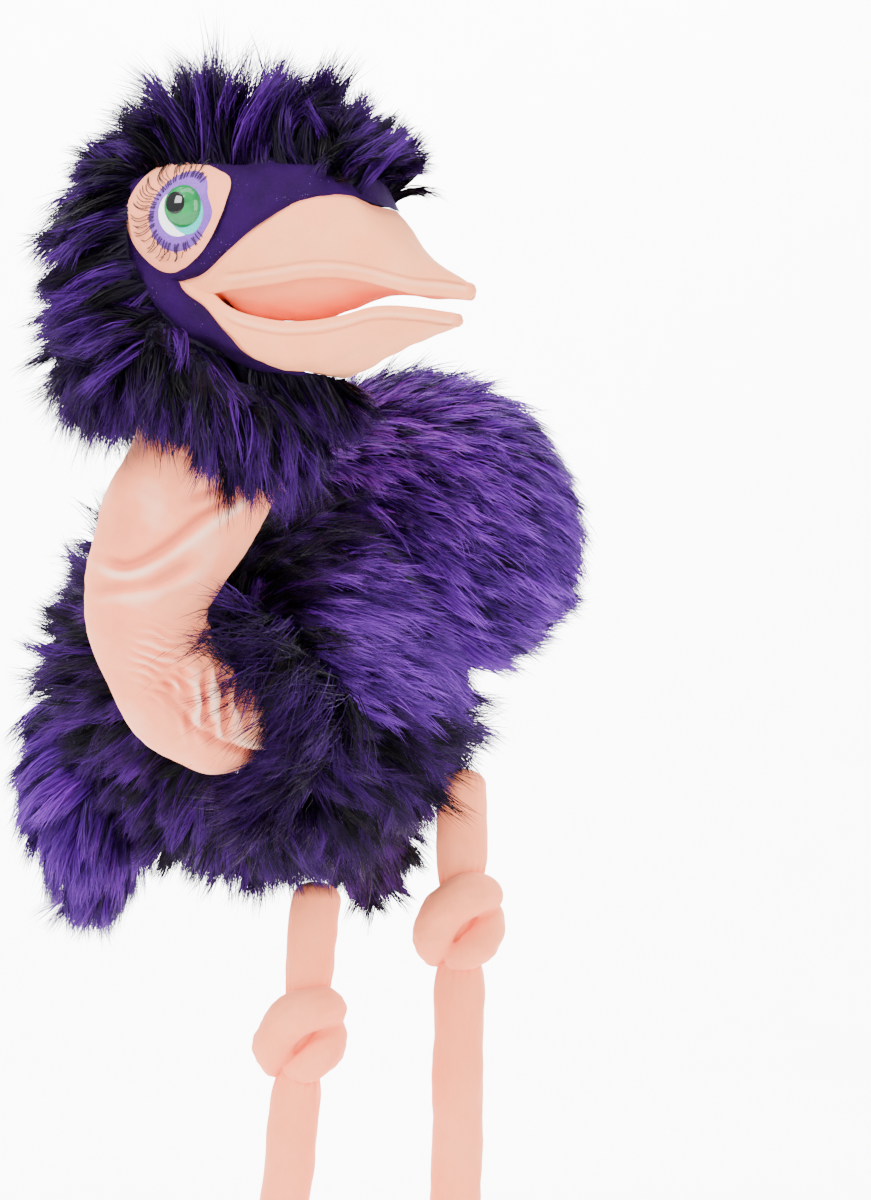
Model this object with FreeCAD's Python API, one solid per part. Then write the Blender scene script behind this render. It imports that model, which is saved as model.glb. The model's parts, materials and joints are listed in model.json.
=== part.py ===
"""A moving-mouth bird puppet: fur body with an arm sleeve, padded neck, beaked head, wings and knotted legs.

Millimetres. +Z is up, +X is the way the beak points and +Y leaves the arm opening, away from the audience.
The origin is the centre of the arm opening. The puppet hangs as it does on a raised forearm: the body is
rolled about Y, the neck leaves its front, turns up, and carries the head above it.
"""
import FreeCAD
import Part

import math
import os

from FreeCAD import Placement, Rotation, Vector

os.makedirs("parts", exist_ok=True)

GAP = 0.4                                   # between neighbouring pieces that don't touch
CLOTH = 2.0                                 # a fabric cover's thickness

# Body
TORSO = Vector(0, -98, 30)                  # centre of the stuffed body
TORSO_R = 103.0                             # its fabric
TORSO_FUR_R = 126.0                         # the long pile's outer surface
CUFF_R, CUFF_WALL, CUFF_LONG = 48.0, 5.0, 26.0
SLEEVE_END_R, SLEEVE_END_Y = 38.0, -192.0   # the arm sleeve's bore and its front end

# Neck: (centre, outer radius) of its rings from the body to the head
NECK = [
    (Vector(0, -197, 0), 34.0),
    (Vector(0, -221, 0), 34.0),
    (Vector(-14, -246, 1), 33.5),
    (Vector(-38, -262, 13), 33.0),
    (Vector(-55, -265, 41), 33.5),
    (Vector(-56, -263, 72), 36.0),
    (Vector(-44, -260, 104), 40.0),
    (Vector(-28, -257.5, 132), 43.0),
    (Vector(-21.5, -256.6, 146), 44.0),
]
NECK_CLOTH = 2.6
NECK_ROOT = Vector(0, -212, 0)              # where the neck bends on the body
COLLAR = Vector(-20, -256.5, 149)           # where the head turns and nods on the neck
NECK_AXIS = Vector(0.33, 0, 0.944)
COLLAR_R, COLLAR_WALL, COLLAR_HIGH = 44.6, 2.6, 8.0
ROOT_BAND_R = 37.2                          # inside the band that holds the neck's root
ELBOW_BACK, ELBOW_TOP = -230.0, 70.0        # the neck's three lengths meet here, in Y and in Z

# Head, in its own frame: the jaw hinge is its origin, x along the beak, y to the bird's left, z up
JAW_HINGE = Vector(-22, -256, 249)
HEAD_YAW = -15.0
BEAK_LONG = 157.0
FACE_TOP, FACE_BACK = 68.0, -32.0           # where the fur begins above and behind the velour face
HOOD_LOW = -44.0                            # the fur hood's lower edge, where the ruff begins
OPEN_BASE = 6.0                             # how far a cover's inside runs past its open side
THUMB_IN = 30.0                             # where the thumb's pocket begins
EYE_D, EYE_HIGH = 24.0, 7.5
EYE_AT = Vector(1, -50, 40)                 # on the right side; the left one mirrors it
EYE_AXIS = Vector(-0.16, -0.975, 0.15)
PATCH_R, STITCH_R = 29.5, 18.0

# Legs
LEG_R = 16.0
THIGH_LONG, SHIN_LONG = 62.0, 172.0
KNOT = (27.0, 23.0, 26.0)                   # half sizes of the knot that stands for a knee
HIP_RIGHT, HIP_LEFT = Vector(36, -92, -112), Vector(126, -98, -42)
LEAN_RIGHT, LEAN_LEFT = 6.0, 1.0            # how the legs hang out of plumb, about Y, in degrees
FOOT_DROOP = 64.0                           # the toes point down as the feet hang


def ellipsoid(centre, rx, ry, rz):
    """A closed ellipsoid with its half sizes along the axes."""
    matrix = FreeCAD.Matrix()
    matrix.scale(rx, ry, rz)
    shape = Part.makeSphere(1.0).transformGeometry(matrix)
    shape.translate(centre)
    return Part.Solid(shape) if shape.ShapeType != "Solid" else shape


def cylinder(centre, axis, radius, back, front):
    """A cylinder along axis, from back to front of centre."""
    axis = Vector(axis).normalize()
    return Part.makeCylinder(radius, front - back, centre + axis * back, axis)


def tube(centre, axis, inner, outer, back, front):
    return cylinder(centre, axis, outer, back, front).cut(cylinder(centre, axis, inner, back - 1, front + 1))


def cone_frustum(start, end, start_r, end_r):
    return Part.makeCone(start_r, end_r, (end - start).Length, start, end - start)


def prism(points, low_y=-200.0, high_y=200.0):
    """A solid between two y planes whose outline in x and z is a list of points."""
    corners = [Vector(x, low_y, z) for x, z in points]
    face = Part.Face(Part.makePolygon(corners + corners[:1]))
    return face.extrude(Vector(0, high_y - low_y, 0))


def strip(points, thick, half_width):
    """A bent sheet: a curve in x and z, thickened upwards and as wide as twice half_width."""
    lower, upper = Part.BSplineCurve(), Part.BSplineCurve()
    lower.interpolate([Vector(x, -half_width, z) for x, z in points])
    upper.interpolate([Vector(x, -half_width, z + thick) for x, z in points])
    ends = [
        Part.makeLine(lower.EndPoint, upper.EndPoint),
        Part.makeLine(upper.StartPoint, lower.StartPoint),
    ]
    wire = Part.Wire([lower.toShape(), ends[0], upper.toShape(), ends[1]])
    return Part.Face(wire).extrude(Vector(0, 2 * half_width, 0))


def arch(x, base, foot, half_width, high):
    """A closed section at x: a flat base, foot wide each side, and an arch over it, or under if high < 0."""
    low = foot + 0.75 * (half_width - foot)
    side = [
        Vector(x, foot, base),
        Vector(x, low, base + 0.22 * high),
        Vector(x, half_width, base + 0.46 * high),
        Vector(x, 0.86 * half_width, base + 0.80 * high),
        Vector(x, 0.45 * half_width, base + 0.965 * high),
        Vector(x, 0, base + high),
    ]
    other = [Vector(x, -p.y, p.z) for p in reversed(side[:-1])]
    curve = Part.BSplineCurve()
    curve.interpolate(side + other)
    return Part.Wire([curve.toShape(), Part.makeLine(other[-1], side[0])])


def plan(inset, low_z, high_z, start=4.0, tip=BEAK_LONG):
    """The beak's outline seen from above, as a plate between two heights."""
    half = [(start, 39.0), (40, 40.0), (80, 35.5), (112, 27.5), (136, 17.0), (tip - 5, 8.5)]
    side = [Vector(x, w - inset, low_z) for x, w in half]
    nose = Vector(tip - inset, 0, low_z)
    left, right = Part.BSplineCurve(), Part.BSplineCurve()
    left.interpolate(side)
    right.interpolate([Vector(p.x, -p.y, p.z) for p in reversed(side)])
    round_tip = Part.Arc(left.EndPoint, nose, right.StartPoint)
    back = Part.makeLine(right.EndPoint, left.StartPoint)
    wire = Part.Wire([left.toShape(), round_tip.toShape(), right.toShape(), back])
    return Part.Face(wire).extrude(Vector(0, 0, high_z - low_z))


def upper_core(inset=0.0, drop=0.0):
    """The upper head and beak as one solid. inset shrinks it, and drop lowers its open base."""
    sections = [                            # x, base height, half width at the base, largest one, height
        (-58, 0, 18, 22, 34), (-46, 0, 30, 38, 56), (-22, 0, 40, 49, 70), (10, 0, 42, 52, 75),
        (48, 0, 42, 51, 76), (80, 0, 38, 46, 74), (98, 0, 34, 41, 65), (104, 0, 33, 39, 54),
        (110, 0, 31, 36, 45.5), (118, -0.5, 28, 31, 34), (128, -2, 22.5, 25, 22.5), (140, -5, 15, 16.5, 15.5),
        (150, -7, 9, 10, 10.2), (BEAK_LONG, -7.5, 4.6, 5.0, 5.0),
    ]
    wires = []
    for x, base, foot, half_width, high in sections:
        at = x + (inset if x < 0 else -inset if x > 140 else 0)
        wires.append(arch(at, base - drop, foot - inset, half_width - inset, high - inset + drop))
    return Part.makeLoft(wires, True)


def lower_core(inset=0.0, lift=0.0):
    """The lower beak as one solid, with its mouth open as far as the soft beak hangs."""
    sections = [                            # x, top height, half width, depth
        (9, -8, 36, 20), (22, -15, 40, 27), (45, -22, 40, 30), (78, -21, 36, 31), (108, -15.5, 29, 24),
        (130, -16, 19, 15), (144, -18, 10, 8), (150, -19, 5, 5),
    ]
    wires = []
    for x, top, half_width, deep in sections:
        at = x + (inset if x < 20 else -inset if x > 140 else 0)
        width = half_width - inset
        wires.append(arch(at, top + lift, width, width, -(deep - inset + lift)))
    return Part.makeLoft(wires, True)


LOWER_LIP = [(12, -11), (26, -17.5), (46, -22.2), (78, -21.2), (104, -16.2), (128, -16)]
FACE_SEAM = [(118, 41), (99, 49), (84, 47), (64, 40), (47, 31), (23, 15), (2, 0)]


def face_outline():
    """The velour face's outline in x and z: fur above and behind it, the beak's seam in front."""
    return [(FACE_BACK, FACE_TOP), (130, FACE_TOP), (130, 40), *FACE_SEAM, (FACE_BACK, 0)]


def beak_outline():
    """The upper beak cover's outline in x and z, just clear of the face's seam."""
    seam = [(x + GAP, z - GAP) for x, z in FACE_SEAM]
    return [(180, 40 - GAP), (130, 40 - GAP), *seam, (FACE_SEAM[-1][0] + GAP, -30), (180, -30)]


def front_outline():
    """Everything in front of the fur hood, face and beak together."""
    low = -6.0
    return [(FACE_BACK - GAP, FACE_TOP + GAP), (180, FACE_TOP + GAP), (180, low), (FACE_BACK - GAP, low)]


def jaw_sweep():
    """The room that the lower beak takes as it opens, as an outline in x and z."""
    reach, lowest = 175.0, math.radians(-66.0)
    return [(-8, 2), (reach, 2), (reach, -95), (reach * math.cos(lowest), reach * math.sin(lowest))]


def eye_side(left):
    """(centre, outward axis) of one eye in the head's frame."""
    sign = -1.0 if left else 1.0
    return Vector(EYE_AT.x, sign * EYE_AT.y, EYE_AT.z), Vector(EYE_AXIS.x, sign * EYE_AXIS.y, EYE_AXIS.z)


def eye_drum(left, radius, back=-30.0, front=30.0):
    centre, axis = eye_side(left)
    return cylinder(centre, axis, radius, back, front)


def eye_shell(left, radius, low, high):
    """A disc cut from the head's surface around one eye, between two heights above the fabric."""
    return eye_drum(left, radius).common(upper_core(-high)).cut(upper_core(-low))


def eye_holes(shape):
    for left in (False, True):
        shape = shape.cut(eye_drum(left, 2.9, -40, 30))
    return shape


def finger_pocket_space(wall):
    """The room inside the fingers' pocket above the upper mouth board, grown by its wall."""
    return Part.makeBox(88 + wall, 60 + 2 * wall, 20 + 2 * wall, Vector(-2, -30 - wall, 4.6 - wall))


def thumb_pocket_space(wall):
    """The room inside the thumb's pocket in the lower beak, grown by its wall."""
    return Part.makeBox(38 + wall, 30 + 2 * wall, 10.6 + 2 * wall, Vector(THUMB_IN, -15 - wall, -40 - wall))


def thumb_way():
    """The way that the thumb takes from the palm through the back of the lower beak into its pocket."""
    return Part.makeBox(THUMB_IN + 2, 31.0, 14.0, Vector(0, -15.5, -40.5))


def hand_space(radius, top):
    """The round space for the palm, from the neck up into the head."""
    return cylinder(Vector(2, 0, 0), Vector(0, 0, 1), radius, -140, top)


def head_place():
    return Placement(JAW_HINGE, Rotation(Vector(0, 0, 1), HEAD_YAW))


def export(name, *solids, place=None):
    """One node's STEP file. place carries a shape from the head's frame into the model's."""
    found = []
    for shape in solids:
        for solid in shape.Solids:
            solid = solid.copy()
            if place is not None:
                solid.Placement = place.multiply(solid.Placement)
            found.append(solid)
    found.sort(key=lambda s: -s.Volume)
    found = [s for s in found if s.Volume > 0.002 * found[0].Volume]
    shape = found[0] if len(found) == 1 else Part.makeCompound(found)
    bad = [s for s in found if not s.isValid() or s.Volume <= 0]
    print(f"{name}: {len(found)} solid, {shape.Volume / 1000:.1f} cm3{' BAD' if bad else ''}")
    shape.exportStep(f"parts/{name}.step")


# ---- body -------------------------------------------------------------------------------------------------
def torso_parts():
    along = Vector(0, 1, 0)
    origin = Vector(0, 0, 0)
    ball = Part.makeSphere(TORSO_FUR_R, TORSO)
    skin = Part.makeSphere(TORSO_R, TORSO)
    back_hole = cylinder(origin, along, CUFF_R + CUFF_WALL + 2.4, -40, 80)
    front_hole = cylinder(origin, along, 47.0, -260, -120)
    export("body_fur", ball.cut(skin).cut(back_hole).cut(front_hole))

    cuff_back = -CUFF_LONG / 2
    sleeve = cone_frustum(Vector(0, SLEEVE_END_Y, 0), Vector(0, cuff_back - GAP, 0),
                          SLEEVE_END_R + 1.6, CUFF_R + 2)
    bore = cone_frustum(Vector(0, SLEEVE_END_Y - 0.01, 0), Vector(0, cuff_back - GAP + 0.01, 0),
                        SLEEVE_END_R, CUFF_R + 0.4)
    export("arm_sleeve_lining", sleeve.cut(bore))

    core = Part.makeSphere(TORSO_R - GAP, TORSO)
    way = cone_frustum(Vector(0, -230, 0), Vector(0, cuff_back + 2, 0), 42.0, CUFF_R + 2.4)
    mouth = cylinder(origin, along, CUFF_R + CUFF_WALL + 2.4, cuff_back - GAP, 40)
    export("body_stuffing", core.cut(way).cut(mouth).cut(front_hole))

    export("arm_cuff", tube(origin, along, CUFF_R, CUFF_R + CUFF_WALL, cuff_back, CUFF_LONG / 2))
    export("cuff_elastic", tube(origin, along, CUFF_R + CUFF_WALL + 0.2, CUFF_R + CUFF_WALL + 1.8, 2, 9))
    export("sewn_in_label", Part.makeBox(18, 34, 0.8, Vector(-9, 14, -CUFF_R - CUFF_WALL - 3.4)))

    tail = ellipsoid(Vector(0, 0, 0), 34, 54, 30)
    tail.Placement = Placement(Vector(62, -30, -82), Rotation(Vector(1, 0, 0), -28))
    export("tail_fur", tail.cut(Part.makeSphere(TORSO_FUR_R + GAP, TORSO)))


def wing_parts():
    """Each wing is a padded flap on the body's side; the left one is pushed out by the arm."""
    keep_off = Part.makeSphere(TORSO_FUR_R + 1.0, TORSO)
    left_hinge = Part.makeBox(300, 300, 300, Vector(-300 + 30, -250, -50))
    left = ellipsoid(Vector(106, -84, 114), 94, 66, 98).cut(keep_off).cut(left_hinge)
    lining = Part.makeSphere(TORSO_FUR_R + 7.0, TORSO)
    export("wing_left_fur", left.cut(lining))
    export("wing_left_lining", left.common(Part.makeSphere(TORSO_FUR_R + 7.0 - GAP, TORSO)))

    right_hinge = Part.makeBox(300, 300, 300, Vector(-250, -250, 28))
    right = ellipsoid(Vector(-82, -84, -38), 66, 62, 82).cut(keep_off).cut(right_hinge)
    export("wing_right_fur", right.cut(lining))
    export("wing_right_lining", right.common(Part.makeSphere(TORSO_FUR_R + 7.0 - GAP, TORSO)))


# ---- neck -------------------------------------------------------------------------------------------------
def neck_solid(thinner):
    """The neck's tube less thinner on its radius, as a loft through its rings."""
    wires = []
    for i, (centre, radius) in enumerate(NECK):
        before, after = NECK[max(i - 1, 0)][0], NECK[min(i + 1, len(NECK) - 1)][0]
        along = after - before
        if i == 0:
            along = Vector(0, -1, 0)
        if i == len(NECK) - 1:
            along = NECK_AXIS
        at = Vector(centre)
        if thinner > 0 and i == 0:
            at = at + Vector(0, 2, 0)
        if thinner > 0 and i == len(NECK) - 1:
            at = at + Vector(NECK_AXIS) * 2
        wires.append(Part.Wire(Part.makeCircle(radius - thinner, at, along)))
    return Part.makeLoft(wires, True)


def neck_parts():
    """The padded neck in three lengths sewn end to end, and the bands at its two ends."""
    wall = neck_solid(0).cut(neck_solid(NECK_CLOTH))

    def root(gap):
        return Part.makeBox(300, 200, 150 + gap, Vector(-200, ELBOW_BACK - gap, -105))

    def top(gap):
        return Part.makeBox(300, 200, 200, Vector(-200, -350, ELBOW_TOP - gap))

    export("neck_sleeve_root", wall.common(root(0)))
    export("neck_sleeve_elbow", wall.cut(root(GAP)).cut(top(GAP)))
    export("neck_sleeve_top", wall.common(top(0)))
    export("neck_root_band", tube(NECK_ROOT, Vector(0, 1, 0), ROOT_BAND_R, ROOT_BAND_R + COLLAR_WALL, -4, 4))
    export("neck_collar_band", tube(COLLAR, NECK_AXIS, COLLAR_R, COLLAR_R + COLLAR_WALL,
                                    -COLLAR_HIGH / 2, COLLAR_HIGH / 2))


# ---- head -------------------------------------------------------------------------------------------------
def head_fur_parts(place):
    hood = ellipsoid(Vector(10, 0, 36), 98, 78, 90)
    hood = hood.cut(upper_core(CLOTH, drop=OPEN_BASE)).cut(prism(front_outline())).cut(prism(jaw_sweep()))
    hood = hood.cut(hand_space(50.0, 1.0))
    hood = hood.cut(Part.makeBox(400, 400, 100, Vector(-200, -200, HOOD_LOW - 100)))
    export("head_fur_hood", hood, place=place)

    inverse = place.inverse()
    centre = inverse.multVec(COLLAR)
    axis = inverse.Rotation.multVec(NECK_AXIS)
    flare = cone_frustum(centre - axis * 18, centre + axis * 2, 67, 57)
    ring = cylinder(centre, axis, 74, -16, 90).cut(cylinder(centre, axis, 57, 0, 100)).cut(flare)
    ring = ring.cut(Part.makeBox(400, 400, 300, Vector(-200, -200, HOOD_LOW - GAP))).cut(prism(jaw_sweep()))
    export("ruff_fur", ring, place=place)


def face_parts(place):
    shell = upper_core().cut(upper_core(CLOTH, drop=OPEN_BASE))
    face = shell.common(prism(face_outline()))
    beak = shell.common(prism(beak_outline()))
    for left in (False, True):
        face = face.cut(eye_drum(left, PATCH_R + GAP))
    export("face_velour", face, place=place)
    export("upper_beak_cover", beak, place=place)

    inner = upper_core(CLOTH + GAP, drop=OPEN_BASE)
    inner = inner.cut(Part.makeBox(400, 200, 50, Vector(-200, -100, -50 + 2.6)))
    inner = inner.cut(finger_pocket_space(2.4)).cut(hand_space(37.0, 52.0))
    for left in (False, True):
        centre, axis = eye_side(left)
        inner = inner.cut(eye_shell(left, PATCH_R + GAP, -CLOTH - GAP, 3.0))
        inner = inner.cut(cylinder(centre, axis, 10, -8, 20)).cut(eye_drum(left, 2.9, -20, 10))
    split = 88.0
    export("head_foam", inner.cut(Part.makeBox(200, 200, 200, Vector(split, -100, -20))), place=place)
    export("upper_beak_foam", inner.cut(Part.makeBox(split + GAP + 100, 200, 200, Vector(-100, -100, -20))),
           place=place)
    pocket = finger_pocket_space(1.2).cut(finger_pocket_space(0.0))
    export("finger_pocket", pocket, place=place)

    export("upper_mouth_board", plan(4.0, 0.3, 2.3, start=6, tip=124), place=place)
    export("upper_mouth_lining", plan(2.4, -1.4, 0.0, start=6, tip=128), place=place)
    band = plan(0.0, -4.2, -1.8, start=24, tip=146).cut(plan(4.0, -10, 0, start=20, tip=146))
    export("upper_lip_band", band, place=place)
    export("mouth_corner_fold", tube(Vector(0, 0, 0), Vector(0, 1, 0), 1.8, 3.1, -35, 35), place=place)


def eye_parts(place):
    for left in (False, True):
        side = "left" if left else "right"
        centre, axis = eye_side(left)
        export(f"eye_patch_{side}", eye_holes(eye_shell(left, PATCH_R, -CLOTH, 3.0)), place=place)
        top = surface_height(left)
        base = centre + Vector(axis) * (top + 4.4)
        stitching = eye_holes(eye_shell(left, STITCH_R, 3.2, 4.2))
        stitching = stitching.cut(cylinder(base, axis, EYE_D / 2 + GAP, -0.2, 9))
        export(f"eye_stitching_{side}", stitching, place=place)
        ball_r = (EYE_D**2 / 4 + EYE_HIGH**2) / (2 * EYE_HIGH)
        cap = Part.makeSphere(ball_r, base + Vector(axis) * (EYE_HIGH - ball_r))
        dome = cap.common(cylinder(base, axis, EYE_D, 1.4, 30))
        iris = cap.common(cylinder(base, axis, EYE_D, 0, 1.2))
        stem = cylinder(base, axis, 2.4, -16, 0.5)
        export(f"eye_dome_{side}", dome, place=place)
        export(f"eye_iris_{side}", iris.fuse(stem), place=place)
        export(f"eye_washer_{side}", tube(base, axis, 2.6, 8.5, -11.2, -9.4), place=place)


def surface_height(left):
    """How far the fabric stands out from the eye's centre along its axis."""
    centre, axis = eye_side(left)
    ray = Part.makeLine(centre - Vector(axis) * 20, centre + Vector(axis) * 30)
    inside = ray.common(upper_core())
    return max((Vector(v.Point) - centre).dot(axis) for v in inside.Vertexes)


def jaw_parts(place):
    core = lower_core()
    export("lower_beak_cover", core.cut(lower_core(CLOTH, lift=OPEN_BASE)).cut(thumb_way()), place=place)
    lid = strip([(x, z - 4.2) for x, z in [(0, -4)] + LOWER_LIP + [(160, -17)]], 60, 90)
    foam = lower_core(CLOTH + GAP, lift=OPEN_BASE).cut(lid).cut(thumb_pocket_space(1.6)).cut(thumb_way())
    export("lower_beak_foam", foam, place=place)
    pocket = thumb_pocket_space(1.2).cut(thumb_pocket_space(0.0))
    export("thumb_pocket", pocket, place=place)

    inner = lower_core(CLOTH + GAP, lift=8)
    board = strip([(x, z - 3.8) for x, z in LOWER_LIP], 1.8, 60).common(inner)
    lining = strip([(x, z - 1.6) for x, z in LOWER_LIP], 1.4, 60).common(inner)
    export("lower_mouth_board", board, place=place)
    export("lower_mouth_lining", lining, place=place)

    under = prism([(12, -24), (84, -60), (84, -70), (12, -70)])
    chin = lower_core(-CLOTH - GAP).cut(lower_core(-GAP)).common(under)
    export("chin_velour", chin.cut(thumb_way()), place=place)
    pile = prism([(66, -55), (112, -36), (120, -54), (90, -62), (66, -60)], -24, 24)
    export("chin_fur", pile.cut(lower_core(-CLOTH - 2 * GAP)), place=place)


# ---- legs -------------------------------------------------------------------------------------------------
def leg_parts(side, hip, lean):
    """One knotted leg, made hanging straight below the hip and then turned by lean."""
    place = Placement(hip, Rotation(Vector(0, 1, 0), lean))
    down = Vector(0, 0, -1)
    origin = Vector(0, 0, 0)
    thigh = Part.makeSphere(LEG_R, origin).fuse(cylinder(origin, down, LEG_R, 0, THIGH_LONG - 8))
    thigh = thigh.fuse(cone_frustum(down * (THIGH_LONG - 8), down * THIGH_LONG, LEG_R, 9))
    export(f"thigh_{side}", thigh.removeSplitter(), place=place)

    middle = down * (THIGH_LONG + KNOT[2] - 1)
    knot = ellipsoid(middle, *KNOT).cut(cylinder(origin, down, 40, 0, THIGH_LONG + GAP))
    knee = down * (THIGH_LONG + 2 * KNOT[2] + 6)
    export(f"knee_knot_{side}", knot.cut(Part.makeSphere(LEG_R + GAP, knee)), place=place)

    ankle = knee + down * SHIN_LONG
    shin = Part.makeSphere(LEG_R, knee).fuse(cylinder(knee, down, LEG_R, 0, SHIN_LONG - 17))
    export(f"shin_{side}", shin.removeSplitter(), place=place)

    foot_place = place.multiply(Placement(ankle, Rotation(Vector(1, 0, 0), FOOT_DROOP)))
    pad = ellipsoid(Vector(0, -14, -10), 24, 30, 13)
    toes = [toe(angle) for angle in (-26, 0, 26)]
    pellets = ellipsoid(Vector(0, -14, -10), 16, 20, 7)
    cover = pad
    for piece in toes:
        cover = cover.fuse(piece)
    export(f"foot_{side}", cover.cut(ellipsoid(Vector(0, -14, -10), 16.4, 20.4, 7.4)), place=foot_place)
    export(f"foot_pellets_{side}", pellets, place=foot_place)


def toe(angle):
    """One padded toe, fanned out from the foot by angle."""
    body = ellipsoid(Vector(0, -52, -12), 10.5, 27, 9.5)
    body.rotate(Vector(0, -8, 0), Vector(0, 0, 1), angle)
    return body


torso_parts()
wing_parts()
neck_parts()
HEAD = head_place()
head_fur_parts(HEAD)
face_parts(HEAD)
eye_parts(HEAD)
jaw_parts(HEAD)
leg_parts("right", HIP_RIGHT, LEAN_RIGHT)
leg_parts("left", HIP_LEFT, LEAN_LEFT)
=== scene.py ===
"""The looks of a moving-mouth bird puppet: fur, velour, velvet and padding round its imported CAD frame."""
import json
import math

import bpy
import numpy as np
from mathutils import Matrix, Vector
from mathutils.kdtree import KDTree


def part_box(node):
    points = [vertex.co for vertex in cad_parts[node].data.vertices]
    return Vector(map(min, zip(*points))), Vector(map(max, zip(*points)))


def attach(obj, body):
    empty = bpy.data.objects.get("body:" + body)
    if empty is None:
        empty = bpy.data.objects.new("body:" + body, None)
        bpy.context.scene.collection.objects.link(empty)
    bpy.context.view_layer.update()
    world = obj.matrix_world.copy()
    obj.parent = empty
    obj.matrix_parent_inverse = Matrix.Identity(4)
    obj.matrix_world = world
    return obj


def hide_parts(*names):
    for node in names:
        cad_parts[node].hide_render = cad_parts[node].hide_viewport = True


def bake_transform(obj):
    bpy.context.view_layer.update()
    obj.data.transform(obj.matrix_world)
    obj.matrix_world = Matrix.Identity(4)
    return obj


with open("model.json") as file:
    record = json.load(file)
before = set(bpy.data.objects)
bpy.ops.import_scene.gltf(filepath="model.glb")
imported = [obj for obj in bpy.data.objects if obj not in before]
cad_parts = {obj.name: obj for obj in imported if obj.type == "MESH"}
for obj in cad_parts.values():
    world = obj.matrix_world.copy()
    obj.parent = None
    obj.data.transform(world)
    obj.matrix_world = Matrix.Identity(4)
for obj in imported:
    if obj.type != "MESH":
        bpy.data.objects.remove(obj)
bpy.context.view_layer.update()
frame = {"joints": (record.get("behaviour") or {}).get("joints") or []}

MM = 0.001
JOINTS = {j["name"]: j for j in frame["joints"]}
DOWN = np.array([0.0, 0.0, -1.0])


def pivot(joint):
    return np.array(JOINTS[joint]["pos_m"])


# The head's own frame: the jaw's hinge, then x along the beak, y to the bird's left and z up
JAW = pivot("jaw_open")
HEAD_Y = np.array(JOINTS["jaw_open"]["axis"])
HEAD_X = np.cross(HEAD_Y, -DOWN)
HEAD_AXES = np.array([HEAD_X, HEAD_Y, -DOWN])
COLLAR = pivot("head_turn")
NECK_AXIS = np.array(JOINTS["head_turn"]["axis"])
NECK_ROOT = pivot("neck_lean")
STUFFING = np.array(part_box("body_stuffing"))
TORSO = (STUFFING[0] + STUFFING[1]) / 2
TORSO_R = (STUFFING[1][0] - STUFFING[0][0]) / 2


# ---- curves and small sums --------------------------------------------------------------------------------
def unit(v):
    return v / np.maximum(np.linalg.norm(v, axis=-1, keepdims=True), 1e-12)


def curve(knots, values, x):
    """A smooth curve through values at knots, read at x."""
    knots, values, x = np.asarray(knots, float), np.asarray(values, float), np.asarray(x, float)
    slope = np.gradient(values, knots, axis=0)
    i = np.clip(np.searchsorted(knots, x) - 1, 0, len(knots) - 2)
    h = knots[i + 1] - knots[i]
    t = (np.clip(x, knots[0], knots[-1]) - knots[i]) / h
    extra = (1,) * (values.ndim - 1)
    t, h = t.reshape(t.shape + extra), h.reshape(h.shape + extra)
    start = (1 + 2 * t) * (1 - t) ** 2 * values[i] + t * (1 - t) ** 2 * h * slope[i]
    end = t * t * (3 - 2 * t) * values[i + 1] + t * t * (t - 1) * h * slope[i + 1]
    return start + end


def full_turn(count):
    """Angles evenly round a circle, the last one short of the first."""
    return np.linspace(0, 2 * math.pi, count, endpoint=False)


def corners(box):
    """A CAD node's box as two arrays: its low and its high corner."""
    return (np.array(corner) for corner in box)


def step(low, high, x):
    """0 below low, 1 above high, smooth between."""
    t = np.clip((x - low) / (high - low), 0, 1)
    return t * t * (3 - 2 * t)


def ripple(points, size, seed, waves=9):
    """Soft noise of about -1 to 1 whose features are about size across."""
    rng = np.random.default_rng(seed)
    directions = unit(rng.normal(size=(waves, 3)))
    phases = rng.uniform(0, 2 * math.pi, waves)
    return np.sin(points @ directions.T * (2 * math.pi / size) + phases).sum(-1) / math.sqrt(waves)


def from_head(points):
    """Millimetres in the head's frame to metres in the model's."""
    return JAW + np.asarray(points, float) * MM @ HEAD_AXES


def to_head(points):
    return (np.asarray(points, float) - JAW) @ HEAD_AXES.T / MM


# ---- meshes -----------------------------------------------------------------------------------------------
def add_object(name, mesh):
    piece = bpy.data.objects.new(name, mesh)
    bpy.context.scene.collection.objects.link(piece)
    return piece


def solid_mesh(name, points, faces, values=None):
    """A smooth-shaded object from points and faces, with named values at its points."""
    mesh = bpy.data.meshes.new(name)
    mesh.from_pydata(np.asarray(points).tolist(), [], [list(map(int, f)) for f in faces])
    mesh.polygons.foreach_set("use_smooth", np.ones(len(mesh.polygons), bool))
    for key, value in (values or {}).items():
        attribute = mesh.attributes.new(key, "FLOAT", "POINT")
        attribute.data.foreach_set("value", np.asarray(value, np.float32).ravel())
    mesh.update()
    return add_object(name, mesh)


def grid_faces(rows, cols, round_cols=False, round_rows=False):
    """Quads over a grid of points, numbered row by row."""
    r = np.arange(rows if round_rows else rows - 1)[:, None]
    c = np.arange(cols if round_cols else cols - 1)[None, :]
    r2, c2 = (r + 1) % rows, (c + 1) % cols
    quads = np.stack([r * cols + c, r * cols + c2, r2 * cols + c2, r2 * cols + c], -1)
    return quads.reshape(-1, 4)


def grid_normals(grid):
    """Normals over a rows by columns grid of points."""
    along, across = np.gradient(grid, axis=0), np.gradient(grid, axis=1)
    return unit(np.cross(across, along))


def grid_object(name, grid, round_cols=False, values=None):
    rows, cols = grid.shape[:2]
    return solid_mesh(name, grid.reshape(-1, 3), grid_faces(rows, cols, round_cols), values)


def ring_frames(path, up=(0.0, 0.0, 1.0)):
    """Two directions across each point of a path, which turn with it and don't twist."""
    tangents = unit(np.gradient(path, axis=0))
    side = unit(np.cross(tangents[0], np.asarray(up, float)))
    sides = []
    for tangent in tangents:
        side = unit(side - tangent * (side @ tangent))
        sides.append(side)
    sides = np.array(sides)
    return tangents, sides, np.cross(tangents, sides)


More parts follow.
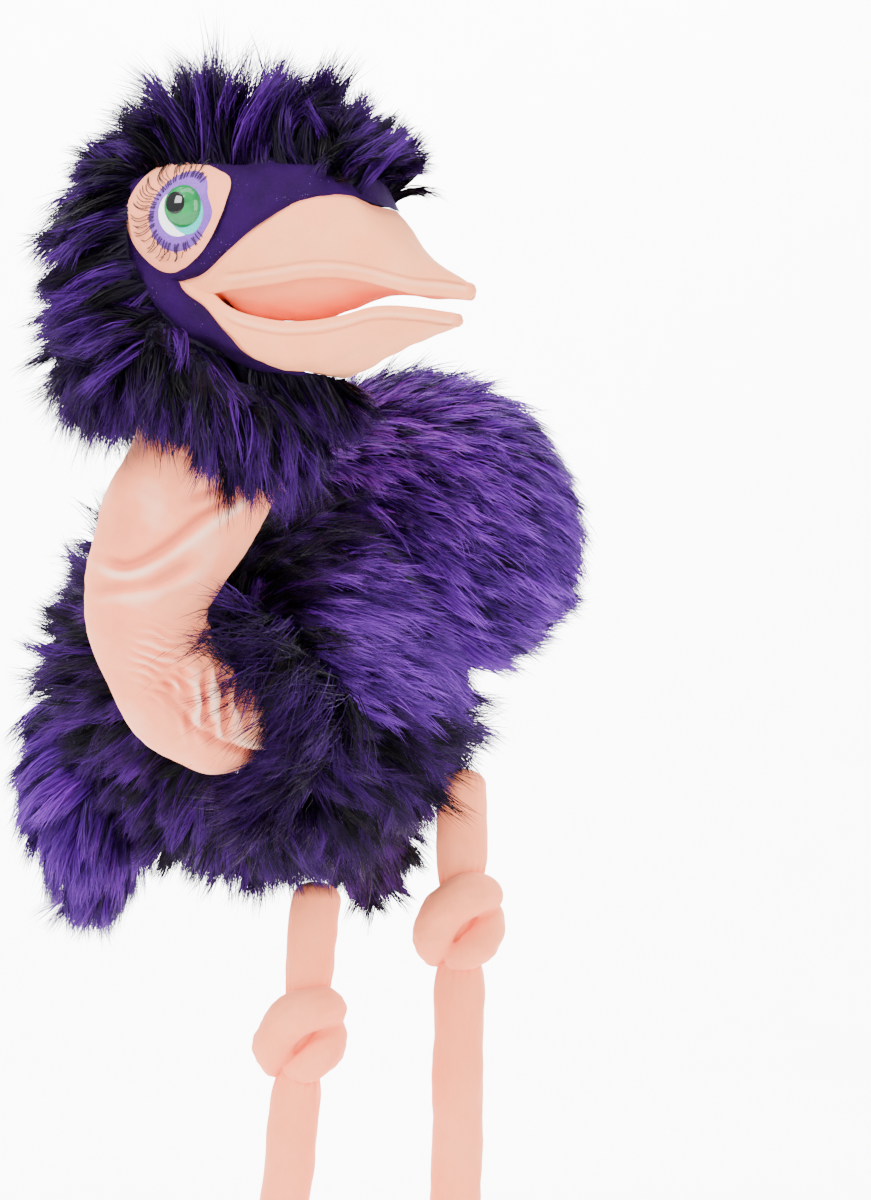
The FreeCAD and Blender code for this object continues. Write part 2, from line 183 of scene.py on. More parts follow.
def sweep(path, radii, around=24, up=(0.0, 0.0, 1.0)):
    """A tube's grid of points: one row for each point of path."""
    _, sides, others = ring_frames(path, up)
    angle = full_turn(around)
    radii = np.asarray(radii, float).reshape(-1, 1, 1)
    ring = np.cos(angle)[None, :, None] * sides[:, None, :]
    ring = ring + np.sin(angle)[None, :, None] * others[:, None, :]
    return path[:, None, :] + radii * ring


def capped(grid):
    """A tube grid's faces with both ends closed, and its points with the two end centres."""
    rows, cols = grid.shape[:2]
    points = np.vstack([grid.reshape(-1, 3), grid[0].mean(0), grid[-1].mean(0)])
    faces = grid_faces(rows, cols, round_cols=True).tolist()
    start, end, last = rows * cols, rows * cols + 1, (rows - 1) * cols
    faces += [[start, (c + 1) % cols, c] for c in range(cols)]
    faces += [[end, last + c, last + (c + 1) % cols] for c in range(cols)]
    return points, faces


def threads(name, paths, radius, around=5):
    """Many thin threads in one object, tapered at both ends. paths is threads by points by 3."""
    points, faces, first = [], [], 0
    for path in paths:
        along = np.linspace(0, 1, len(path))
        thin = radius * np.clip(np.sin(math.pi * along) * 3, 0.15, 1)
        grid = sweep(np.asarray(path), thin, around, up=(0.3, 0.9, 0.2))
        ring_points, ring_faces = capped(grid)
        points.append(ring_points)
        faces += [[v + first for v in f] for f in ring_faces]
        first += len(ring_points)
    return solid_mesh(name, np.vstack(points), faces)


def melt(name, solids, voxel, rounds):
    """One skin round several overlapping closed solids, smoothed rounds times."""
    points, faces, first = [], [], 0
    for solid_points, solid_faces in solids:
        points.append(solid_points)
        faces += [[v + first for v in f] for f in solid_faces]
        first += len(solid_points)
    piece = solid_mesh(name, np.vstack(points), faces)
    remesh = piece.modifiers.new("voxels", "REMESH")
    remesh.mode = "VOXEL"
    remesh.voxel_size = voxel
    smooth = piece.modifiers.new("smooth", "SMOOTH")
    smooth.factor = 0.5
    smooth.iterations = rounds
    bake_modifiers(piece)
    return piece


def bake_modifiers(piece):
    graph = bpy.context.evaluated_depsgraph_get()
    mesh = bpy.data.meshes.new_from_object(piece.evaluated_get(graph))
    piece.modifiers.clear()
    piece.data = mesh
    mesh.polygons.foreach_set("use_smooth", np.ones(len(mesh.polygons), bool))


def read_points(piece):
    co = np.empty(len(piece.data.vertices) * 3)
    piece.data.vertices.foreach_get("co", co)
    normal = np.empty_like(co)
    piece.data.vertices.foreach_get("normal", normal)
    return co.reshape(-1, 3), normal.reshape(-1, 3)


def write_points(piece, points):
    piece.data.vertices.foreach_set("co", points.ravel())
    piece.data.update()


def ball(centre, radii, turn=None, rows=24, cols=32):
    """A closed ellipsoid as points and faces, turned by a 3 by 3 matrix."""
    lat = np.linspace(0, math.pi, rows)[1:-1, None]
    lon = full_turn(cols)[None, :]
    grid = np.stack([np.sin(lat) * np.cos(lon), np.sin(lat) * np.sin(lon), np.cos(lat) + 0 * lon], -1)
    points = np.vstack([grid.reshape(-1, 3), [[0, 0, 1], [0, 0, -1]]]) * np.asarray(radii)
    faces = grid_faces(rows - 2, cols, round_cols=True)[:, ::-1].tolist()
    top, bottom, last = (rows - 2) * cols, (rows - 2) * cols + 1, (rows - 3) * cols
    faces += [[top, c, (c + 1) % cols] for c in range(cols)]
    faces += [[bottom, last + (c + 1) % cols, last + c] for c in range(cols)]
    if turn is not None:
        points = points @ np.asarray(turn).T
    return points + np.asarray(centre), [f[::-1] for f in faces]


def turned(axis, degrees):
    """The 3 by 3 matrix of a turn about an axis."""
    x, y, z = unit(np.asarray(axis, float))
    c, s = math.cos(math.radians(degrees)), math.sin(math.radians(degrees))
    cross = np.array([[0, -z, y], [z, 0, -x], [-y, x, 0]])
    return np.eye(3) * c + cross * s + np.outer([x, y, z], [x, y, z]) * (1 - c)


# ---- materials --------------------------------------------------------------------------------------------
class Paint:
    """A Principled material, with short ways to add the nodes that feed it."""

    def __init__(self, name, **constants):
        self.material = bpy.data.materials.new(name)
        self.material.use_nodes = True
        self.nodes = self.material.node_tree.nodes
        self.links = self.material.node_tree.links
        self.shader = self.nodes["Principled BSDF"]
        for key, value in constants.items():
            self.shader.inputs[key.replace("_", " ").title().replace("Ior", "IOR")].default_value = value
        self.where = self.nodes.new("ShaderNodeTexCoord").outputs["Object"]

    def feed(self, value, socket):
        if isinstance(value, bpy.types.NodeSocket):
            self.links.new(value, socket)
        else:
            socket.default_value = value

    def noise(self, scale, detail=3.0, distortion=0.0, stretch=None):
        node = self.nodes.new("ShaderNodeTexNoise")
        node.inputs["Scale"].default_value = scale
        node.inputs["Detail"].default_value = detail
        node.inputs["Distortion"].default_value = distortion
        where = self.where
        if stretch:
            mapping = self.nodes.new("ShaderNodeMapping")
            mapping.inputs["Scale"].default_value = stretch
            self.links.new(where, mapping.inputs["Vector"])
            where = mapping.outputs["Vector"]
        self.links.new(where, node.inputs["Vector"])
        return node.outputs["Fac"]

    def cells(self, scale):
        node = self.nodes.new("ShaderNodeTexVoronoi")
        node.inputs["Scale"].default_value = scale
        self.links.new(self.where, node.inputs["Vector"])
        return node.outputs["Distance"]

    def value(self, name):
        node = self.nodes.new("ShaderNodeAttribute")
        node.attribute_name = name
        return node.outputs["Fac"]

    def strand(self):
        """A strand's own tone, and how far along it a point lies."""
        node = self.nodes.new("ShaderNodeUVMap")
        node.uv_map = "OFBake"
        split = self.nodes.new("ShaderNodeSeparateXYZ")
        self.links.new(node.outputs["UV"], split.inputs["Vector"])
        return split.outputs["X"], split.outputs["Y"]

    def ramp(self, value, stops):
        """Colours or greys between stops, a list of (position, colour)."""
        node = self.nodes.new("ShaderNodeValToRGB")
        ramp = node.color_ramp
        while len(ramp.elements) < len(stops):
            ramp.elements.new(0.5)
        for element, (position, colour) in zip(ramp.elements, stops):
            element.position = position
            element.color = (*colour, 1.0) if hasattr(colour, "__len__") else (colour, colour, colour, 1.0)
        self.links.new(value, node.inputs["Fac"])
        return node.outputs["Color"]

    def mix(self, share, first, second):
        node = self.nodes.new("ShaderNodeMix")
        node.data_type = "RGBA"
        self.feed(share, node.inputs["Factor"])
        for value, socket in ((first, node.inputs["A"]), (second, node.inputs["B"])):
            self.feed((*value, 1.0) if isinstance(value, tuple) else value, socket)
        return node.outputs["Result"]

    def maths(self, kind, first, second=0.0):
        node = self.nodes.new("ShaderNodeMath")
        node.operation = kind
        self.feed(first, node.inputs[0])
        self.feed(second, node.inputs[1])
        return node.outputs["Value"]

    def colour(self, value):
        self.links.new(value, self.shader.inputs["Base Color"])

    def rough(self, value, low, high):
        self.links.new(self.ramp(value, [(0.3, low), (0.7, high)]), self.shader.inputs["Roughness"])

    def bump(self, height, distance, strength=1.0):
        node = self.nodes.new("ShaderNodeBump")
        node.inputs["Distance"].default_value = distance
        node.inputs["Strength"].default_value = strength
        self.links.new(height, node.inputs["Height"])
        self.links.new(node.outputs["Normal"], self.shader.inputs["Normal"])


def srgb(r, g, b):
    """A colour from the usual 0 to 255 numbers, as the linear one that shaders use."""
    return tuple(((c / 255 + 0.055) / 1.055) ** 2.4 if c > 10 else c / 3300 for c in (r, g, b))


def fur_paint(name, tones, tips):
    """Strands: tones from the darkest lock to the brightest, each dark at its root and paler at its tip."""
    paint = Paint(name, roughness=0.50, specular_ior_level=0.08)
    tone, along = paint.strand()
    places = np.linspace(0, 1, len(tones))
    body = paint.ramp(tone, list(zip(places, tones)))
    pale = paint.ramp(tone, [(0.0, tips[0]), (1.0, tips[1])])
    tipped = paint.mix(paint.ramp(along, [(0.55, 0.0), (1.0, 0.75)]), body, pale)
    paint.colour(paint.mix(paint.ramp(along, [(0.0, 0.85), (0.38, 0.0)]), tipped, srgb(16, 8, 26)))
    return paint.material


def nap_paint(name, low, high, grain=900.0, lint=None, sheen=0.12, tint=(1.0, 1.0, 1.0), ridge=None,
              valley=None):
    """Velour or velvet: a fine nap that turns paler and darker in patches, with lint, a painted highlight on
    ridges and painted shade in valleys.
    """
    paint = Paint(name, roughness=0.86, sheen_weight=sheen, sheen_roughness=0.35, specular_ior_level=0.1)
    paint.shader.inputs["Sheen Tint"].default_value = (*tint, 1.0)
    patches = paint.noise(38.0, 4.0, 0.6)
    fine = paint.noise(grain, 2.0)
    colour = paint.ramp(patches, [(0.32, low), (0.68, high)])
    colour = paint.mix(0.22, colour, paint.ramp(fine, [(0.35, low), (0.65, high)]))
    # ridge is a painted highlight on raised folds and valley is painted shade in sunk ones, both read from
    # the fold value
    if ridge:
        fold = paint.value("fold")
        colour = paint.mix(paint.ramp(fold, [(0.05, 0.0), (0.9, 0.75)]), colour, ridge)
        painted_shade_share = paint.maths("MULTIPLY", fold, -1.0)
        colour = paint.mix(paint.ramp(painted_shade_share, [(0.05, 0.0), (0.9, 0.8)]), colour, valley)
    if lint:
        specks = paint.ramp(paint.cells(520.0), [(0.07, 1.0), (0.12, 0.0)])
        here = paint.ramp(paint.noise(60.0, 3.0), [(0.5, 0.0), (0.66, 0.8)])
        colour = paint.mix(paint.maths("MULTIPLY", specks, here), colour, lint)
    paint.colour(colour)
    paint.rough(patches, 0.78, 0.92)
    paint.bump(fine, 0.00035, 0.7)
    return paint.material


def knit_paint(name, low, high):
    """Brushed jersey: rows of fine stitches under a soft bloom."""
    paint = Paint(name, roughness=0.88, sheen_weight=0.12, sheen_roughness=0.45, specular_ior_level=0.2)
    rows = paint.noise(420.0, 2.0, 0.2, stretch=(1.0, 1.0, 0.35))
    patches = paint.noise(30.0, 3.0)
    colour = paint.ramp(patches, [(0.3, low), (0.7, high)])
    paint.colour(paint.mix(0.25, colour, paint.ramp(rows, [(0.35, low), (0.65, high)])))
    paint.rough(rows, 0.8, 0.95)
    paint.bump(rows, 0.0003, 0.6)
    return paint.material


def plain_cloth(name, low, high, scale=700.0, roughness=0.85):
    paint = Paint(name, roughness=roughness, sheen_weight=0.15, specular_ior_level=0.25)
    weave = paint.noise(scale, 2.0, 0.0, stretch=(1.0, 0.4, 1.0))
    paint.colour(paint.mix(0.5, paint.ramp(weave, [(0.35, low), (0.65, high)]),
                           paint.ramp(paint.noise(25.0), [(0.3, low), (0.7, high)])))
    paint.bump(weave, 0.0003, 0.6)
    return paint.material


def gloss_paint(name, low, high, scale=60.0, roughness=0.12):
    """Moulded plastic with a faint cloudiness and small rubs."""
    paint = Paint(name, roughness=roughness, specular_ior_level=0.5)
    cloud = paint.noise(scale, 4.0)
    paint.colour(paint.ramp(cloud, [(0.3, low), (0.7, high)]))
    paint.rough(paint.noise(scale * 8, 3.0), roughness * 0.8, roughness * 1.5)
    return paint.material


DARKS = [srgb(3, 1, 4), srgb(3, 1, 5), srgb(4, 2, 7), srgb(7, 2, 13), srgb(14, 2, 28), srgb(32, 4, 60),
         srgb(66, 12, 106)]
LONG_FUR = fur_paint("long pile fur", DARKS, (srgb(11, 6, 14), srgb(76, 30, 118)))
BRIGHTS = [srgb(14, 2, 30), srgb(30, 4, 58), srgb(50, 7, 92), srgb(70, 11, 120), srgb(92, 22, 146),
           srgb(118, 50, 174)]
WING_FUR = fur_paint("short bright fur", BRIGHTS, (srgb(62, 18, 108), srgb(136, 80, 190)))
PEACH_SHEEN = (1.0, 0.82, 0.72)
BACKING = plain_cloth("knit backing", srgb(14, 8, 22), srgb(30, 16, 52), 500.0)
FACE = nap_paint("dark velour", srgb(24, 1, 42), srgb(36, 2, 62), lint=srgb(150, 110, 190), sheen=0.05,
                 tint=srgb(150, 90, 200))
# The ridge colours below are painted highlights on raised folds, and the valley colours are painted shade in
# grooves, creases and the back of the mouth
BEAK = nap_paint("peach velour", srgb(255, 150, 100), srgb(255, 164, 116), tint=PEACH_SHEEN,
                 ridge=srgb(255, 208, 178), valley=srgb(226, 128, 92))
MOUTH = nap_paint("mouth velour", srgb(254, 134, 86), srgb(255, 152, 104), tint=PEACH_SHEEN,
                  ridge=srgb(255, 200, 170), valley=srgb(222, 104, 70))
NECK = nap_paint("panne velvet", srgb(252, 136, 94), srgb(255, 152, 112), grain=1300.0, sheen=0.3,
                 tint=PEACH_SHEEN, ridge=srgb(255, 208, 184), valley=srgb(224, 118, 86))
LEG = knit_paint("peach jersey", srgb(252, 130, 86), srgb(255, 148, 104))
PATCH_PAINT = nap_paint("eye patch velour", srgb(246, 140, 100), srgb(252, 160, 122), sheen=0.15,
                        tint=PEACH_SHEEN)
LAVENDER = plain_cloth("lavender stitch", srgb(98, 44, 150), srgb(130, 78, 182), 1100.0, 0.55)
VIOLET = plain_cloth("violet thread", srgb(30, 4, 48), srgb(56, 12, 82), 900.0, 0.5)
BLACK = plain_cloth("black thread", srgb(16, 14, 18), srgb(40, 34, 46), 900.0, 0.5)
WHITE = plain_cloth("white stitch", srgb(226, 226, 236), srgb(252, 252, 255), 1100.0, 0.5)
TEAL = plain_cloth("teal stitch", srgb(24, 160, 160), srgb(64, 196, 190), 1100.0, 0.5)
LINING = plain_cloth("woven lining", srgb(26, 18, 40), srgb(46, 32, 68))
TAPE = plain_cloth("satin tape", srgb(232, 231, 228), srgb(250, 249, 246), 900.0, 0.5)
BOARD = gloss_paint("board", srgb(196, 190, 180), srgb(214, 208, 198), roughness=0.45)
IRIS = gloss_paint("green iris", srgb(0, 92, 44), srgb(12, 138, 70), 90.0, 0.05)
GLOSS_BLACK = gloss_paint("black pupil", srgb(6, 8, 8), srgb(14, 18, 16), 60.0, 0.04)
WASHER = gloss_paint("washer plastic", srgb(20, 20, 22), srgb(34, 34, 38), roughness=0.3)
BEADS = gloss_paint("pellets", srgb(214, 214, 210), srgb(236, 236, 230), 300.0, 0.35)


def dress(piece, material, body=None, replaces=()):
    """Gives a piece its material in one slot and the body it rides on, and hides the CAD nodes it stands for.
    """
    piece.data.materials.clear()
    piece.data.materials.append(material)
    if replaces:
        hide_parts(*replaces)
    if body:
        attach(piece, body)
    return piece


# ---- fur --------------------------------------------------------------------------------------------------
FUR_STEPS = 5


def strand_object(name, points, sides, half_width, tone):
    """Ribbons that taper to a point. points and sides are strands by steps + 1 by 3."""
    count, rows = points.shape[0], points.shape[1] - 1
    left = points[:, :-1] - sides[:, :-1] * half_width[:, :-1, None]
    right = points[:, :-1] + sides[:, :-1] * half_width[:, :-1, None]
    pairs = np.stack([left, right], 2).reshape(count, rows * 2, 3)
    co = np.concatenate([pairs, points[:, -1:]], 1).reshape(-1, 3)
    each = rows * 2 + 1
    row = np.arange(rows - 1)[:, None] * 2
    quads = (row + np.array([[0, 1, 3, 2]])).ravel()
    pattern = np.concatenate([quads, [each - 3, each - 2, each - 1]])
    loops = (np.arange(count)[:, None] * each + pattern[None, :]).ravel()
    sizes = np.tile(np.array([4] * (rows - 1) + [3]), count)
    starts = np.concatenate([[0], np.cumsum(sizes)[:-1]])

    mesh = bpy.data.meshes.new(name)
    mesh.vertices.add(len(co))
    mesh.vertices.foreach_set("co", co.ravel())
    mesh.loops.add(len(loops))
    mesh.loops.foreach_set("vertex_index", loops.astype(np.int32))
    mesh.polygons.add(len(sizes))
    mesh.polygons.foreach_set("loop_start", starts.astype(np.int32))
    mesh.polygons.foreach_set("use_smooth", np.ones(len(sizes), bool))
    along = np.concatenate([np.repeat(np.arange(rows) / rows, 2), [1.0]])
    across = np.concatenate([np.tile([-0.004, 0.004], rows), [0.0]])
    u = np.clip(tone[:, None], 0.01, 0.99) + across[None, :]
    uv = np.stack([u, np.broadcast_to(np.clip(along, 0.004, 0.996), u.shape)], -1).reshape(-1, 2)
    layer = mesh.uv_layers.new(name="OFBake")
    layer.data.foreach_set("uv", uv[loops].ravel())
    mesh.update(calc_edges=True)
    return add_object(name, mesh)


def grow(name, roots, normals, flow, length, seed, lock=30, lift=0.6, droop=0.3, width=0.0011, pull=0.85,
         tones=(0.0, 1.0), spread=0.3, end_flow=None):
    """Fur in pointed locks. flow is where each lock leans, lift how far it stands, droop how far it hangs.

    end_flow is where the locks curl to by their tips, if that isn't the way they lean.
    """
    end_flow = flow if end_flow is None else end_flow
    rng = np.random.default_rng(seed)
    count = len(roots)
    picks = rng.choice(count, max(4, count // lock), replace=False)
    tree = KDTree(len(picks))
    for i, p in enumerate(roots[picks]):
        tree.insert(p, i)
    tree.balance()
    near = np.array([tree.find(p)[1] for p in roots])
    core = picks[near]

    stray = rng.normal(size=(len(picks), 3))
    wander = rng.normal(size=(len(picks), 3))
    lean = unit(normals[core] * lift + flow[core] * (1 - lift) + spread * 0.5 * stray[near])
    hang = unit(end_flow[core] * 0.9 + normals[core] * 0.3 * lift + DOWN * droop + spread * wander[near])
    lean = unit(lean + 0.06 * rng.normal(size=(count, 3)))
    hang = unit(hang + 0.08 * rng.normal(size=(count, 3)))
    size = length * rng.uniform(0.72, 1.08, len(picks))[near] * rng.uniform(0.64, 1.06, count)

    t = np.linspace(0, 1, FUR_STEPS + 1)[None, :, None]
    offset = (roots - roots[core])[:, None, :]
    points = roots[:, None, :] - offset * (pull * t ** 1.4)
    reach = lean[:, None, :] * (t - t * t / 2) + hang[:, None, :] * t * t / 2
    points = points + size[:, None, None] * reach
    bow = unit(np.cross(lean, rng.normal(size=(count, 3))))[:, None, :]
    points = points + bow * np.sin(t * math.pi * 1.3) * (0.045 * size)[:, None, None]

    tangents = unit(np.gradient(points, axis=1))
    sides = unit(np.cross(tangents, normals[:, None, :] + 0.01))
    roll = rng.normal(0, 0.5, count)[:, None, None]
    sides = sides * np.cos(roll) + np.cross(tangents, sides) * np.sin(roll)
    half = width / 2 * rng.uniform(0.7, 1.3, count)[:, None] * (1 - t[0, :, 0][None, :]) ** 0.55
    shade = rng.uniform(0, 1, len(picks))[near] + rng.normal(0, 0.13, count)
    shade = tones[0] + (tones[1] - tones[0]) * np.clip(shade, 0, 1)
    return strand_object(name, points, sides, half, shade)


def random_directions(count, seed):
    return unit(np.random.default_rng(seed).normal(size=(count, 3)))


def thinned(picks):
    """No more of the picked roots than one piece can hold, spread evenly over them."""
    if len(picks) <= MOST_STRANDS:
        return picks
    return picks[np.linspace(0, len(picks) - 1, MOST_STRANDS).astype(int)]


def tangent(flow, normals):
    """flow laid flat on the surface."""
    return unit(flow - normals * (flow * normals).sum(-1, keepdims=True))


# ---- body -------------------------------------------------------------------------------------------------
SKIN_GROWS = 0.001                     # the backing stands this far off the stuffing
ARM_R = 0.048                          # the arm opening
NECK_HOLE = 0.034
NECK_HOLE_X = -0.012
BODY_ROOTS = 190000                    # tried over the whole ball, before its holes are left out
MOST_STRANDS = 21500                   # in one piece


def bright_share(points):
    """1 on the upper right of the body, where the pile is short and bright, and 0 on the long dark pile."""
    edge = np.interp(points[..., 2], [0.016, 0.045, 0.091, 0.195], [0.030, 0.010, 0.031, 0.080])
    return step(-0.006, 0.006, np.minimum(points[..., 0] - edge, points[..., 2] - 0.014))


def make_body():
    skin_r = TORSO_R + SKIN_GROWS
    points, faces = ball(TORSO, (skin_r, skin_r, skin_r), turned((1, 0, 0), 90), rows=64, cols=96)
    keep = ~((points[:, 1] > TORSO[1]) & (np.hypot(points[:, 0], points[:, 2]) < ARM_R + 0.004))
    keep &= ~((points[:, 1] < TORSO[1]) & (np.hypot(points[:, 0] - NECK_HOLE_X, points[:, 2]) < NECK_HOLE))
    number = np.cumsum(keep) - 1
    faces = [[number[v] for v in f] for f in faces if all(keep[v] for v in f)]
    points = points[keep] + unit(points[keep] - TORSO) * (ripple(points[keep], 0.05, 3) * 0.0015)[:, None]
    skin = solid_mesh("body_backing", points, faces)
    dress(skin, BACKING, "torso", ["body_fur", "body_stuffing"])

    n = random_directions(BODY_ROOTS, 11)
    n = n[(n[:, 1] < 0.1) | (np.arange(len(n)) % 2 == 0)]
    roots = TORSO + n * skin_r
    from_neck = np.hypot(roots[:, 0] - NECK_HOLE_X, roots[:, 2])
    keep = np.where(n[:, 1] < 0, from_neck > NECK_HOLE + 0.003,
                    np.hypot(roots[:, 0], roots[:, 2]) > ARM_R + 0.006)
    roots, n, from_neck = roots[keep], n[keep], from_neck[keep]
    bright = bright_share(roots)
    upper_right = step(-0.035, 0.015, roots[:, 0]) * step(0.0, 0.03, roots[:, 2])
    radial = np.stack([roots[:, 0] - NECK_HOLE_X + 0.045 * upper_right, 0.6 * TORSO_R + 0 * from_neck,
                       roots[:, 2] * (1 - 1.1 * upper_right)], -1)
    out_of_neck = tangent(unit(radial) + DOWN * 0.30 * step(0.03, 0.09, from_neck)[:, None], n)
    sideways = tangent(np.array([1.0, 0.45, -0.38]), n)
    behind = step(0.45, 0.9, n[:, 1])
    near_hole = step(0.075, 0.045, from_neck) * (n[:, 1] < 0)
    over_hip = np.clip(n @ unit(np.array([0.90, -0.10, -0.42])), 0, 1) ** 6
    length = 0.062 - 0.028 * behind - 0.016 * near_hole + 0.014 * over_hip
    long_pile = np.flatnonzero(bright < 0.5)
    turn = np.arctan2(roots[long_pile, 2] - TORSO[2], roots[long_pile, 0]) + 8 * (n[long_pile, 1] > 0.1)
    parts = math.ceil(len(long_pile) / MOST_STRANDS)
    for i, part in enumerate(np.array_split(long_pile[turn.argsort()], parts)):
        piece = grow(f"body_fur_{i + 1}", roots[part], n[part], out_of_neck[part], length[part], 20 + i,
                     lock=64, lift=0.50, droop=0.38, width=0.00095, pull=0.75, spread=0.38)
        dress(piece, LONG_FUR, "torso")
    mask = thinned(np.flatnonzero(bright >= 0.5))
    piece = grow("body_fur_bright", roots[mask], n[mask], sideways[mask], 0.056, 51, lock=20, lift=0.52,
                 droop=0.22, width=0.001, pull=0.5, spread=0.20)
    dress(piece, WING_FUR, "torso")
    make_neck_fringe(skin_r)
    make_hip_fringe(skin_r)


def make_neck_fringe(skin_r):
    """The pile above and beside the neck's root falls forward over it."""
    rng = np.random.default_rng(35)
    count = 9500
    turn = np.radians(rng.uniform(-70, 88, count))
    out = NECK_HOLE + 0.001 + 0.024 * rng.uniform(0, 1, count)
    x, z = NECK_HOLE_X + out * np.cos(turn), out * np.sin(turn)
    y = TORSO[1] - np.sqrt(skin_r**2 - (x - TORSO[0]) ** 2 - (z - TORSO[2]) ** 2)
    roots = np.stack([x, y, z], -1)
    n = unit(roots - TORSO)
    over = step(-0.6, 0.9, np.sin(turn))
    flow = np.stack([0.15 * np.cos(turn), -1.0 + 0 * turn, 0.1 * np.sin(turn)], -1)
    curl = np.stack([-0.75 - 0.25 * over, -0.55 + 0 * turn, -0.15 - 0.30 * over], -1)
    piece = grow("neck_fringe", roots, n, unit(flow), 0.100 + 0.026 * over, 36, lock=36, lift=0.15,
                 droop=0.12, width=0.001, tones=(0.0, 0.9), spread=0.36, end_flow=unit(curl))
    dress(piece, LONG_FUR, "torso")


def make_hip_fringe(skin_r):
    """Pile that hangs over the top of each thigh."""
    rng = np.random.default_rng(37)
    directions = []
    for side in ("right", "left"):
        towards = unit(pivot(f"hip_{side}") - TORSO)
        directions.append(unit(towards + 0.20 * rng.normal(size=(4500, 3))))
    n = np.vstack(directions)
    n = n[n[:, 2] < -0.1]
    piece = grow("hip_fringe", TORSO + n * skin_r, n, tangent(DOWN + 0.25 * n, n), 0.058, 38, lock=50,
                 lift=0.40, droop=0.7, width=0.001, spread=0.34)
    dress(piece, LONG_FUR, "torso")


def make_tail():
    low, high = corners(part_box("tail_fur"))
    centre, size = (low + high) / 2, (high - low) / 2
    solid = ball(centre, size * (0.62, 0.62, 0.55), turned((1, 0, 0), -28))
    skin = melt("tail_backing", [solid], 0.004, 2)
    dress(skin, BACKING, "torso", ["tail_fur"])
    n = random_directions(9000, 41)
    roots = centre + n * size * (0.60, 0.60, 0.53) @ turned((1, 0, 0), -28).T
    flow = tangent(np.array([0.25, 1.0, -0.7]), n)
    piece = grow("tail_tuft", roots, n, flow, 0.042, 42, lock=60, lift=0.35, droop=0.5, width=0.0012)
    dress(piece, LONG_FUR, "torso")


def make_wing(side, centre, radii, keep, flow_of, length, count, seed, lock, tones=(0.0, 1.0), droop=0.25):
    """A padded flap, hollow where it lies against the body, and its fur. keep says where the fur grows."""
    body = f"wing_{side}"
    points, faces = ball(centre, radii, rows=48, cols=64)
    from_torso = points - TORSO
    reach = np.linalg.norm(from_torso, axis=1)
    shell = TORSO_R + 0.022
    inside = reach < shell
    points[inside] = TORSO + unit(from_torso[inside]) * shell
    skin = solid_mesh(f"wing_{side}_backing", points, faces)
    dress(skin, BACKING, body, [f"wing_{side}_fur", f"wing_{side}_lining"])
    n = random_directions(count, seed)
    roots = centre + n * radii
    normals = unit(n / radii)
    reach = np.linalg.norm(roots - TORSO, axis=1)
    mask = (reach > shell) & keep(roots)
    roots, normals = roots[mask], normals[mask]
    roots, normals = roots[:MOST_STRANDS], normals[:MOST_STRANDS]
    flow = tangent(flow_of(roots), normals)
    piece = grow(f"wing_{side}_pile", roots, normals, flow, length, seed + 1, lock=lock, lift=0.38,
                 droop=droop, width=0.001, pull=0.5, spread=0.20, tones=tones)
    dress(piece, WING_FUR, body)


def make_wings():
    low, high = corners(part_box("wing_left_fur"))
    centre = np.array([low[0] + 0.066, (low[1] + high[1]) / 2 - 0.012, (low[2] + high[2]) / 2 - 0.004])
    half = (high - low) / 2
    radii = np.array([high[0] - centre[0], half[1] + 0.012, half[2] + 0.006]) - 0.014

    def left_flow(p):
        up = step(centre[2] + 0.045, high[2], p[:, 2])
        z = -0.42 + 1.3 * up
        return np.stack([np.ones(len(p)) - 0.4 * up, 0.12 * np.ones(len(p)), z], -1)

    make_wing("left", centre, radii, lambda p: p[:, 0] > low[0], left_flow, 0.040, 36000, 51, 16)

    low, high = corners(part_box("wing_right_fur"))
    centre = np.array([high[0] - 0.066, (low[1] + high[1]) / 2, low[2] + 0.082])
    radii = np.array([centre[0] - low[0], (high[1] - low[1]) / 2, centre[2] - low[2]]) - 0.016

    def right_flow(p):
        down = step(centre[2] + 0.02, centre[2] - 0.05, p[:, 2])
        return np.stack([-1.0 + 0.75 * down, 0.1 * np.ones(len(p)), -0.35 - 0.9 * down], -1)

    make_wing("right", centre, radii, lambda p: p[:, 2] < high[2] - 0.004, right_flow, 0.050, 26000, 61, 60,
              tones=(0.0, 0.85), droop=0.45)


def round_arm(radius, turn, y):
    """A grid of points round the arm's axis."""
    return np.stack([radius * np.cos(turn), y + 0 * turn, radius * np.sin(turn)], -1)


def make_cuff():
    """The padded cuff with its gathers."""
    low, high = corners(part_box("arm_cuff"))
    wall = (high[0] - low[0]) / 2 - ARM_R
    rows, cols = 26, 260
    turn = full_turn(cols)[None, :]
    across = full_turn(rows)[:, None]
    gather = 0.0011 * np.sin(46 * turn + 1.2 * np.sin(7 * turn)) * np.abs(np.sin(across))
    radius = ARM_R + wall / 2 + (wall / 2 + gather) * np.cos(across) + 0.0005
    y = (high[1] - low[1]) / 2 * np.sin(across) * (1 + 0.03 * np.sin(11 * turn))
    grid = round_arm(radius, turn, y)
    cuff = solid_mesh("arm_cuff_padding", grid.reshape(-1, 3), grid_faces(rows, cols, True, True)[:, ::-1])
    dress(cuff, LINING, "torso", ["arm_cuff"])


def make_sleeve():
    """The lining that narrows from the cuff to the neck."""
    low, high = corners(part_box("arm_sleeve_lining"))
    rows, cols = 90, 160
    share = np.linspace(0, 1, rows)[:, None]
    turn = full_turn(cols)[None, :]
    start_r, end_r = 0.0384, (high[0] - low[0]) / 2 - 0.001
    radius = start_r + (end_r - start_r) * share
    y = low[1] + (high[1] - low[1]) * share
    p = np.stack([np.cos(turn) + 0 * y, y * 8 + 0 * turn, np.sin(turn) + 0 * y], -1)
    radius = radius + 0.0009 * ripple(p.reshape(-1, 3), 0.9, 71).reshape(rows, cols) * np.sin(math.pi * share)
    sleeve = grid_object("arm_sleeve_cloth", round_arm(radius, turn, y), round_cols=True)
    thicken(sleeve, 0.0012)
    dress(sleeve, LINING, "torso", ["arm_sleeve_lining"])


